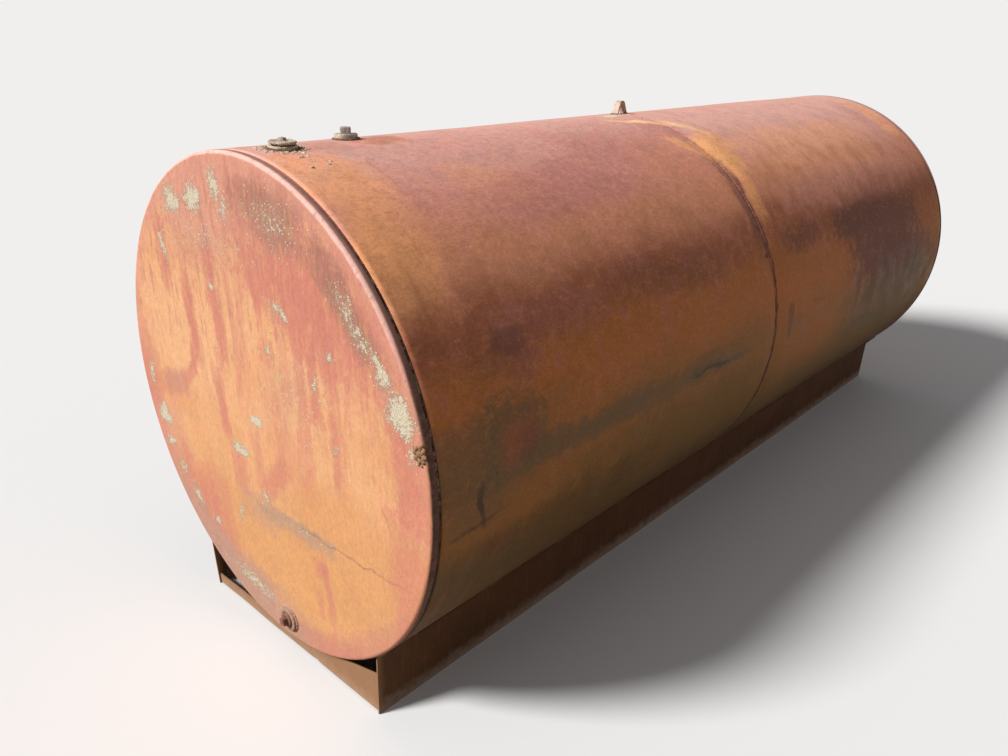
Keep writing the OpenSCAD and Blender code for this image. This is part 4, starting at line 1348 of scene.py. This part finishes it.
class TANK_OT_skids(Operator):
    """Builds the skids, the cross plates and their stitch welds"""
    bl_idname = "tank.skids"
    bl_label = "Build Skids"

    def execute(self, context):
        bow = context.scene.tank_sizes.skid_bow
        for node, mirror in (("skid_right", False), ("skid_left", True)):
            mesh = skid_mesh(node + "_plate", mirror, bow)
            piece_from_mesh(node + "_plate", mesh, "skid", "skid_paint", node)
        for node, facing in (("cross_plate_front", 1.0), ("cross_plate_rear", -1.0)):
            mesh = plate_mesh(node + "_bent", node, facing)
            piece_from_mesh(node + "_bent", mesh, "skid", "skid_paint", node)
        for seed, node in enumerate(("skid_weld_right", "skid_weld_left")):
            weld_piece(node + "_beads", self.stitches(node), STITCH_BEAD, "fillet", node, 20 + seed)
        for seed, node in enumerate(("cross_weld_front", "cross_weld_rear")):
            weld_piece(node + "_beads", self.uprights(node), CROSS_BEAD, "fillet", node, 30 + seed)
        return {"FINISHED"}

    def stitches(self, node):
        """The stitch welds' runs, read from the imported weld's own points"""
        ends = sorted({round(vertex.co.y, 4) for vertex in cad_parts[node].data.vertices})
        up = outward(middle(node))
        root = up * (RADIUS + 0.0012) + Vector((0.0, 0.0, AXIS_Z))
        pairs = zip(ends[0::2], ends[1::2])
        return [line_run((root.x, a + 0.003, root.z), (root.x, b - 0.003, root.z), up) for a, b in pairs]

    def uprights(self, node):
        """The upright welds' runs behind a cross plate"""
        low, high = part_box(node)
        facing = 1.0 if node.endswith("front") else -1.0
        y = (low.y + 0.0015) if facing > 0 else (high.y - 0.0015)
        lean = math.tan(SKID_LEAN)
        runs = []
        for side, top in ((1.0, high.z - 0.004), (-1.0, 0.030)):
            x_low = high.x - 0.0016 - (high.z - low.z) * lean
            start = (side * x_low, y, low.z + 0.004)
            end = (side * (x_low + (top - low.z) * lean), y, top)
            runs.append(line_run(start, end, (-side, facing, 0.0)))
        return runs


class TANK_OT_fittings(Operator):
    """Builds the fill, vent and drain bungs with their plugs and welds"""
    bl_idname = "tank.fittings"
    bl_label = "Build Fittings"

    def execute(self, context):
        steps = context.scene.tank_sizes.steps
        self.fill(steps)
        self.vent(steps)
        self.drain(steps)
        return {"FINISHED"}

    def seat(self, node):
        """The matrix of a bung on the shell, its seat at the shell's surface"""
        spot = middle(node)
        up = outward(spot)
        return stand(up * RADIUS + Vector((0.0, spot.y, AXIS_Z)), up)

    def bung(self, name, node, turn, profile, steps, coat, *wear):
        """A bung turned from its profile, roughened and set on the tank"""
        mesh = roughened(lathe_mesh(name, profile, steps, turn, True), *wear)
        piece_from_mesh(name, mesh, coat, "bung_iron", node)

    def plug(self, name, node, body, block, coat, *wear):
        """A plug of a turned body and a square block"""
        piece_from_mesh(name, roughened(joined(name, body, block), *wear), coat, "plug_iron", node)

    def ring_weld(self, name, turn, radius, node, seed, coat="fillet"):
        """A fillet of ripples round a bung"""
        ring = [Vector((math.cos(a), math.sin(a), 0.0)) for a in turns(RING_STEPS)]
        points = [turn @ (spoke * radius + Vector((0.0, 0.0, 0.0008))) for spoke in ring]
        outs = [turn.to_3x3() @ (spoke + Vector((0.0, 0.0, 1.0))).normalized() for spoke in ring]
        weld_piece(name, [(points, outs, True)], RING_BEAD, coat, node, seed)

    def fill(self, steps):
        """The fill bung, its crusted ring and domed plug"""
        turn = self.seat("fill_bung")
        self.bung("fill_bung_ring", "fill_bung", turn, (
            (0.0225, -0.012), (0.0325, -0.012), (0.0330, -0.011), (0.0330, 0.0055), (0.0322, 0.0074),
            (0.0305, 0.0080), (0.0250, 0.0080), (0.0232, 0.0072), (0.0225, 0.0060)),
            steps, "bung", 0.0018, 130.0, 3.0)
        gap, rim, top = 0.011, 0.017, 0.018
        profile = [(0.0, -0.010), (0.0214, -0.010), (0.0214, gap - 0.001), (0.0220, gap), (0.0285, gap),
                   (0.0304, gap + 0.0008), (0.0310, gap + 0.0025), (0.0306, gap + 0.0046), (0.0286, rim)]
        for i in range(9):
            profile.append((0.0250 * (1 - i / 8), rim + (top - rim) * math.sin(math.pi / 2 * i / 8)))
        cap = lathe_mesh("fill_cap", profile, steps, turn)
        nub = box_mesh("fill_nub", 0.0070, top - 0.002, top + 0.006,
                       turn @ Matrix.Rotation(math.radians(20), 4, "Z"), 0.0016)
        self.plug("fill_plug_cap", "fill_plug", cap, nub, "plug", 0.0015, 120.0, 5.0)
        self.ring_weld("fill_ring_weld", turn, 0.0352, "fill_bung_weld", 41)

    def vent(self, steps):
        """The vent bung and its square-headed plug"""
        turn = self.seat("vent_bung")
        self.bung("vent_bung_ring", "vent_bung", turn, (
            (0.0193, -0.012), (0.0280, -0.012), (0.0285, -0.011), (0.0285, 0.0100), (0.0278, 0.0122),
            (0.0262, 0.0130), (0.0216, 0.0130), (0.0200, 0.0122), (0.0193, 0.0110)),
            steps, "vent", 0.0008, 150.0, 7.0)
        shank = lathe_mesh("vent_shank", (
            (0.0, -0.010), (0.0186, -0.010), (0.0186, 0.0105), (0.0176, 0.0125), (0.0150, 0.0130),
            (0.0, 0.0132)), steps, turn)
        square = box_mesh("vent_square", 0.0123, 0.0100, 0.0279,
                          turn @ Matrix.Rotation(math.radians(-38), 4, "Z"), 0.0022)
        self.plug("vent_plug_head", "vent_plug", shank, square, "vent", 0.0006, 150.0, 11.0)
        self.ring_weld("vent_ring_weld", turn, 0.0307, "vent_bung_weld", 43)

    def drain(self, steps):
        """The drain bung in the head and its square-headed plug"""
        spot = middle("drain_bung")
        turn = stand((spot.x, FRONT_Y, spot.z), (0.0, -1.0, 0.0))
        self.bung("drain_boss", "drain_bung", turn, (
            (0.0213, -0.012), (0.0335, -0.012), (0.0340, -0.011), (0.0340, 0.0062), (0.0332, 0.0082),
            (0.0315, 0.0090), (0.0236, 0.0090), (0.0220, 0.0082), (0.0213, 0.0070)),
            steps, "drain", 0.0010, 140.0, 13.0)
        shank = lathe_mesh("drain_shank", (
            (0.0, -0.010), (0.0206, -0.010), (0.0206, 0.0100), (0.0196, 0.0122), (0.0170, 0.0130),
            (0.0, 0.0130)), steps, turn)
        square = box_mesh("drain_square", 0.0098, 0.0100, 0.0259,
                          turn @ Matrix.Rotation(math.radians(12), 4, "Z"), 0.0020)
        self.plug("drain_plug_head", "drain_plug", shank, square, "drain_plug", 0.0006, 150.0, 17.0)
        self.ring_weld("drain_ring_weld", turn, 0.0360, "drain_bung_weld", 47, "dusty")


class TANK_OT_lug(Operator):
    """Builds the bent lifting lug and its foot welds"""
    bl_idname = "tank.lug"
    bl_label = "Build Lifting Lug"

    def execute(self, context):
        low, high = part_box("lifting_lug")
        spot = middle("lifting_lug")
        outer, inner = self.sections(low, high)
        mesh = self.bar(outer, inner, spot, (high.x - low.x) / 2)
        roughened(mesh, 0.0005, 120.0, 19.0)
        piece_from_mesh("lifting_lug_bar", mesh, "lug", "lug_steel", "lifting_lug")
        runs = []
        for sign in (1.0, -1.0):
            y, z = spot.y + sign * (outer[0][0] + 0.0022), low.z + 0.0006
            runs.append(line_run((-0.0100, y, z), (0.0100, y, z), (0.0, sign, 1.0)))
        weld_piece("lug_foot_weld", runs, LUG_BEAD, "fillet", "lug_weld", 53)
        return {"FINISHED"}

    def sections(self, low, high):
        """The bent bar's outer and inner edge, from foot to foot"""
        thick, bend, top = 0.008, 0.007, 0.008
        foot = (high.y - low.y) / 2 - thick / 2 - 0.0004
        mid_z = high.z - thick / 2
        lean = math.atan((foot - top) / (mid_z - low.z))
        turn = math.pi / 2 - lean
        centre = (top - bend * math.tan(turn / 2), mid_z - bend)
        edges = []
        for radius in (bend + thick / 2, bend - thick / 2):
            start = (centre[0] + radius * math.cos(lean), centre[1] + radius * math.sin(lean))
            run = []
            for i in range(9):
                z = low.z + (start[1] - low.z) * i / 8
                run.append((start[0] + (start[1] - z) * math.tan(lean), z))
            for i in range(1, 9):
                a = lean + turn * i / 8
                run.append((centre[0] + radius * math.cos(a), centre[1] + radius * math.sin(a)))
            edges.append(run + [(-y, z) for y, z in run[::-1]])
        return edges

    def bar(self, outer, inner, spot, half_width):
        """The bar as a swept rectangle with rounded corners"""
        made = bmesh.new()
        rings = []
        for (outer_y, outer_z), (inner_y, inner_z) in zip(outer, inner):
            mid_y, mid_z = (outer_y + inner_y) / 2, (outer_z + inner_z) / 2
            half_y, half_z = (outer_y - inner_y) / 2, (outer_z - inner_z) / 2
            ring = []
            for a in turns(BAR_SIDES):
                across = math.copysign(abs(math.cos(a)) ** 0.22, math.cos(a)) * half_width
                through = math.copysign(abs(math.sin(a)) ** 0.30, math.sin(a))
                place = (spot.x + across, spot.y + mid_y + half_y * through, mid_z + half_z * through)
                ring.append(made.verts.new(place))
            rings.append(ring)
        swept(made, rings)
        made.faces.new(rings[0])
        made.faces.new(rings[-1][::-1])
        return finished("lifting_lug_bar", made, sharp=50)


class TANK_OT_growth(Operator):
    """Scatters lichen on the drain end, and leaf scraps and mud on the tank"""
    bl_idname = "tank.growth"
    bl_label = "Build Growth And Dirt"

    def execute(self, context):
        sizes = context.scene.tank_sizes
        self.lichen(sizes)
        self.scraps(sizes)
        self.mud()
        return {"FINISHED"}

    def lichen(self, sizes):
        """Rosettes on the head's face, where the lichen patches are"""
        mesh = bpy.data.objects["head_front_skin"].data.copy()
        made = bmesh.new()
        made.from_mesh(mesh)
        low = FRONT_Y + 0.008
        gone = [face for face in made.faces if face.calc_center_median().y > low or face.normal.y > -0.3]
        bmesh.ops.delete(made, geom=gone, context="FACES")
        made.to_mesh(mesh)
        made.free()
        for vertex, value in zip(mesh.vertices, mesh.attributes["growth"].data):
            ragged = 0.45 + 1.3 * noise.noise(Vector((vertex.co.x * 60.0, 3.0, vertex.co.z * 60.0)))
            value.value *= max(0.0, ragged)
        source = linked("lichen_ground", mesh)
        set_rule(source, scatter_rule(), density=90000.0, small=sizes.lichen_size * 0.30,
                 large=sizes.lichen_size * 1.2, thickness=0.0008, sides=7, tilt=0.12, seed=4,
                 material=finish("lichen"))
        piece_from_mesh("lichen_rosettes", baked(source, "lichen_rosettes"), None, "head_paint")

    def scraps(self, sizes):
        """Leaf scraps and grit caught round the fill bung"""
        spot = middle("fill_bung")
        columns, rows = 60, 50
        width, depth = 0.30, 0.24
        points, faces = [], []
        for j in range(rows + 1):
            y = spot.y + (j / rows - 0.45) * depth
            for i in range(columns + 1):
                a = (spot.x + (i / columns - 0.42) * width) / RADIUS
                points.append((RADIUS * math.sin(a), y, AXIS_Z + RADIUS * math.cos(a)))
        for j in range(rows):
            for i in range(columns):
                first = j * (columns + 1) + i
                faces.append((first, first + 1, first + columns + 2, first + columns + 1))
        mesh = bpy.data.meshes.new("scrap_ground")
        mesh.from_pydata(points, [], faces)
        values = []
        for x, y, _ in points:
            away = math.hypot(x - spot.x, y - spot.y)
            ring = math.exp(-((away - 0.046) / 0.010) ** 2)
            tail = math.exp(-((x - 0.095) / 0.05) ** 2 - ((y - spot.y - 0.005) / 0.025) ** 2)
            clear = away > 0.038 and y > FRONT_Y + 0.035
            values.append(ring + 0.30 * tail if clear else 0.0)
        grown(mesh, values)
        source = linked("scrap_ground", mesh)
        set_rule(source, scatter_rule(), density=42000.0, small=sizes.leaf * 0.18, large=sizes.leaf * 1.2,
                 thickness=0.0024, sides=5, tilt=0.5, seed=8, material=finish("leaf"))
        piece_from_mesh("leaf_scraps", baked(source, "leaf_scraps"), None, "plug_iron")

    def mud(self):
        """A dried clump of mud cells on the rim"""
        away, angle = RADIUS - 0.013, math.radians(79.0)
        base = Vector((away * math.sin(angle) - 0.004, FRONT_Y + 0.001, AXIS_Z + away * math.cos(angle)))
        squashed = Matrix.Diagonal((1.0, 0.85, 1.0, 1.0))
        made = bmesh.new()
        for x, z, size in MUD_CELLS:
            shape = Matrix.Translation(base + Vector((1.15 * x, 0.0, 1.1 * z))) @ squashed
            bmesh.ops.create_icosphere(made, subdivisions=3, radius=size, matrix=shape)
        mesh = roughened(finished("mud_clump", made), 0.0016, 170.0, 23.0, inwards=False)
        piece_from_mesh("mud_clump", mesh, "mud", "plug_iron")


class TANK_OT_stage(Operator):
    """Builds the studio: floor, soft light, sky and camera"""
    bl_idname = "tank.stage"
    bl_label = "Build Stage"

    def execute(self, context):
        light = context.scene.tank_light
        self.floor()
        self.lamps(light)
        self.sky(light)
        self.camera()
        context.scene.view_settings.view_transform = "Standard"
        return {"FINISHED"}

    def floor(self):
        """A wide pale floor under the skids"""
        mesh = bpy.data.meshes.new("studio_floor")
        corners = ((-1.0, -1.0), (1.0, -1.0), (1.0, 1.0), (-1.0, 1.0))
        mesh.from_pydata([(FLOOR_HALF * x, FLOOR_HALF * y, 0.0) for x, y in corners], [], [(0, 1, 2, 3)])
        mesh.materials.append(finish("floor"))
        floor = linked("studio_floor", mesh)

    def lamps(self, light):
        """The key light, high on the drain end's left"""
        data = bpy.data.lights.new("key_light", "SUN")
        data.energy = light.key
        data.angle = light.softness
        data.color = (1.0, 0.97, 0.92)
        lamp = linked("key_light", data)
        lamp.rotation_euler = TO_KEY_LIGHT.to_track_quat("Z", "Y").to_euler()
        lamp.location = TO_KEY_LIGHT * 6.0

    def sky(self, light):
        """A plain sky, pale to the camera and soft on the tank"""
        world = bpy.data.worlds.new("studio_sky")
        world.use_nodes = True
        world.node_tree.nodes.clear()
        graph = Graph(world.node_tree)
        rays = graph.add("ShaderNodeLightPath").outputs
        soft = graph.add("ShaderNodeBackground", (1.0, 0.96, 0.93, 1.0), light.fill).outputs[0]
        pale = graph.add("ShaderNodeBackground", (0.871, 0.863, 0.855, 1.0), 1.0).outputs[0]
        mixed = graph.add("ShaderNodeMixShader", rays["Is Camera Ray"], soft, pale).outputs[0]
        graph.add("ShaderNodeOutputWorld", mixed)
        bpy.context.scene.world = world

    def camera(self):
        """The camera at the photograph's place and angle"""
        yaw, pitch, roll = (math.radians(angle) for angle in CAMERA_ANGLES)
        ahead = Vector((math.sin(yaw) * math.cos(pitch), math.cos(yaw) * math.cos(pitch), math.sin(pitch)))
        level = Vector((math.cos(yaw), -math.sin(yaw), 0.0))
        under = ahead.cross(level)
        right = level * math.cos(roll) + under * math.sin(roll)
        down = under * math.cos(roll) - level * math.sin(roll)
        data = bpy.data.cameras.new("camera")
        data.sensor_width = 36.0
        data.lens = CAMERA_FOCAL / PHOTO_WIDTH * data.sensor_width
        data.clip_start, data.clip_end = 0.05, 200.0
        camera = linked("camera", data)
        place = Matrix((right, -down, -ahead)).transposed().to_4x4()
        place.translation = CAMERA_PLACE
        camera.matrix_world = place
        bpy.context.scene.camera = camera


class TANK_PT_panel(Panel):
    """Lists the tank's builders, sizes and colours"""
    bl_idname = "TANK_PT_panel"
    bl_label = "Skid Tank"
    bl_space_type = "VIEW_3D"
    bl_region_type = "UI"
    bl_category = "Tank"

    def draw(self, context):
        for builder in BUILDERS:
            self.layout.operator(builder.bl_idname)
        for group in (context.scene.tank_sizes, context.scene.tank_colours, context.scene.tank_light):
            box = self.layout.box()
            for key in group.__annotations__:
                box.prop(group, key)


BUILDERS = (TANK_OT_stage, TANK_OT_shell, TANK_OT_heads, TANK_OT_welds, TANK_OT_skids,
            TANK_OT_fittings, TANK_OT_lug, TANK_OT_growth)
CLASSES = (TankSizes, TankColours, TankLight, *BUILDERS, TANK_PT_panel)


def register():
    """Registers the classes and the scene's settings"""
    for item in CLASSES:
        bpy.utils.register_class(item)
    bpy.types.Scene.tank_sizes = PointerProperty(type=TankSizes)
    bpy.types.Scene.tank_colours = PointerProperty(type=TankColours)
    bpy.types.Scene.tank_light = PointerProperty(type=TankLight)


def unregister():
    """Takes the classes and settings away again"""
    del bpy.types.Scene.tank_light
    del bpy.types.Scene.tank_colours
    del bpy.types.Scene.tank_sizes
    for item in reversed(CLASSES):
        bpy.utils.unregister_class(item)


def main():
    """Builds every piece"""
    register()
    bpy.ops.tank.stage()
    bpy.ops.tank.shell()
    bpy.ops.tank.heads()
    bpy.ops.tank.welds()
    bpy.ops.tank.skids()
    bpy.ops.tank.fittings()
    bpy.ops.tank.lug()
    bpy.ops.tank.growth()
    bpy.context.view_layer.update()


if __name__ == "__main__":
    main()
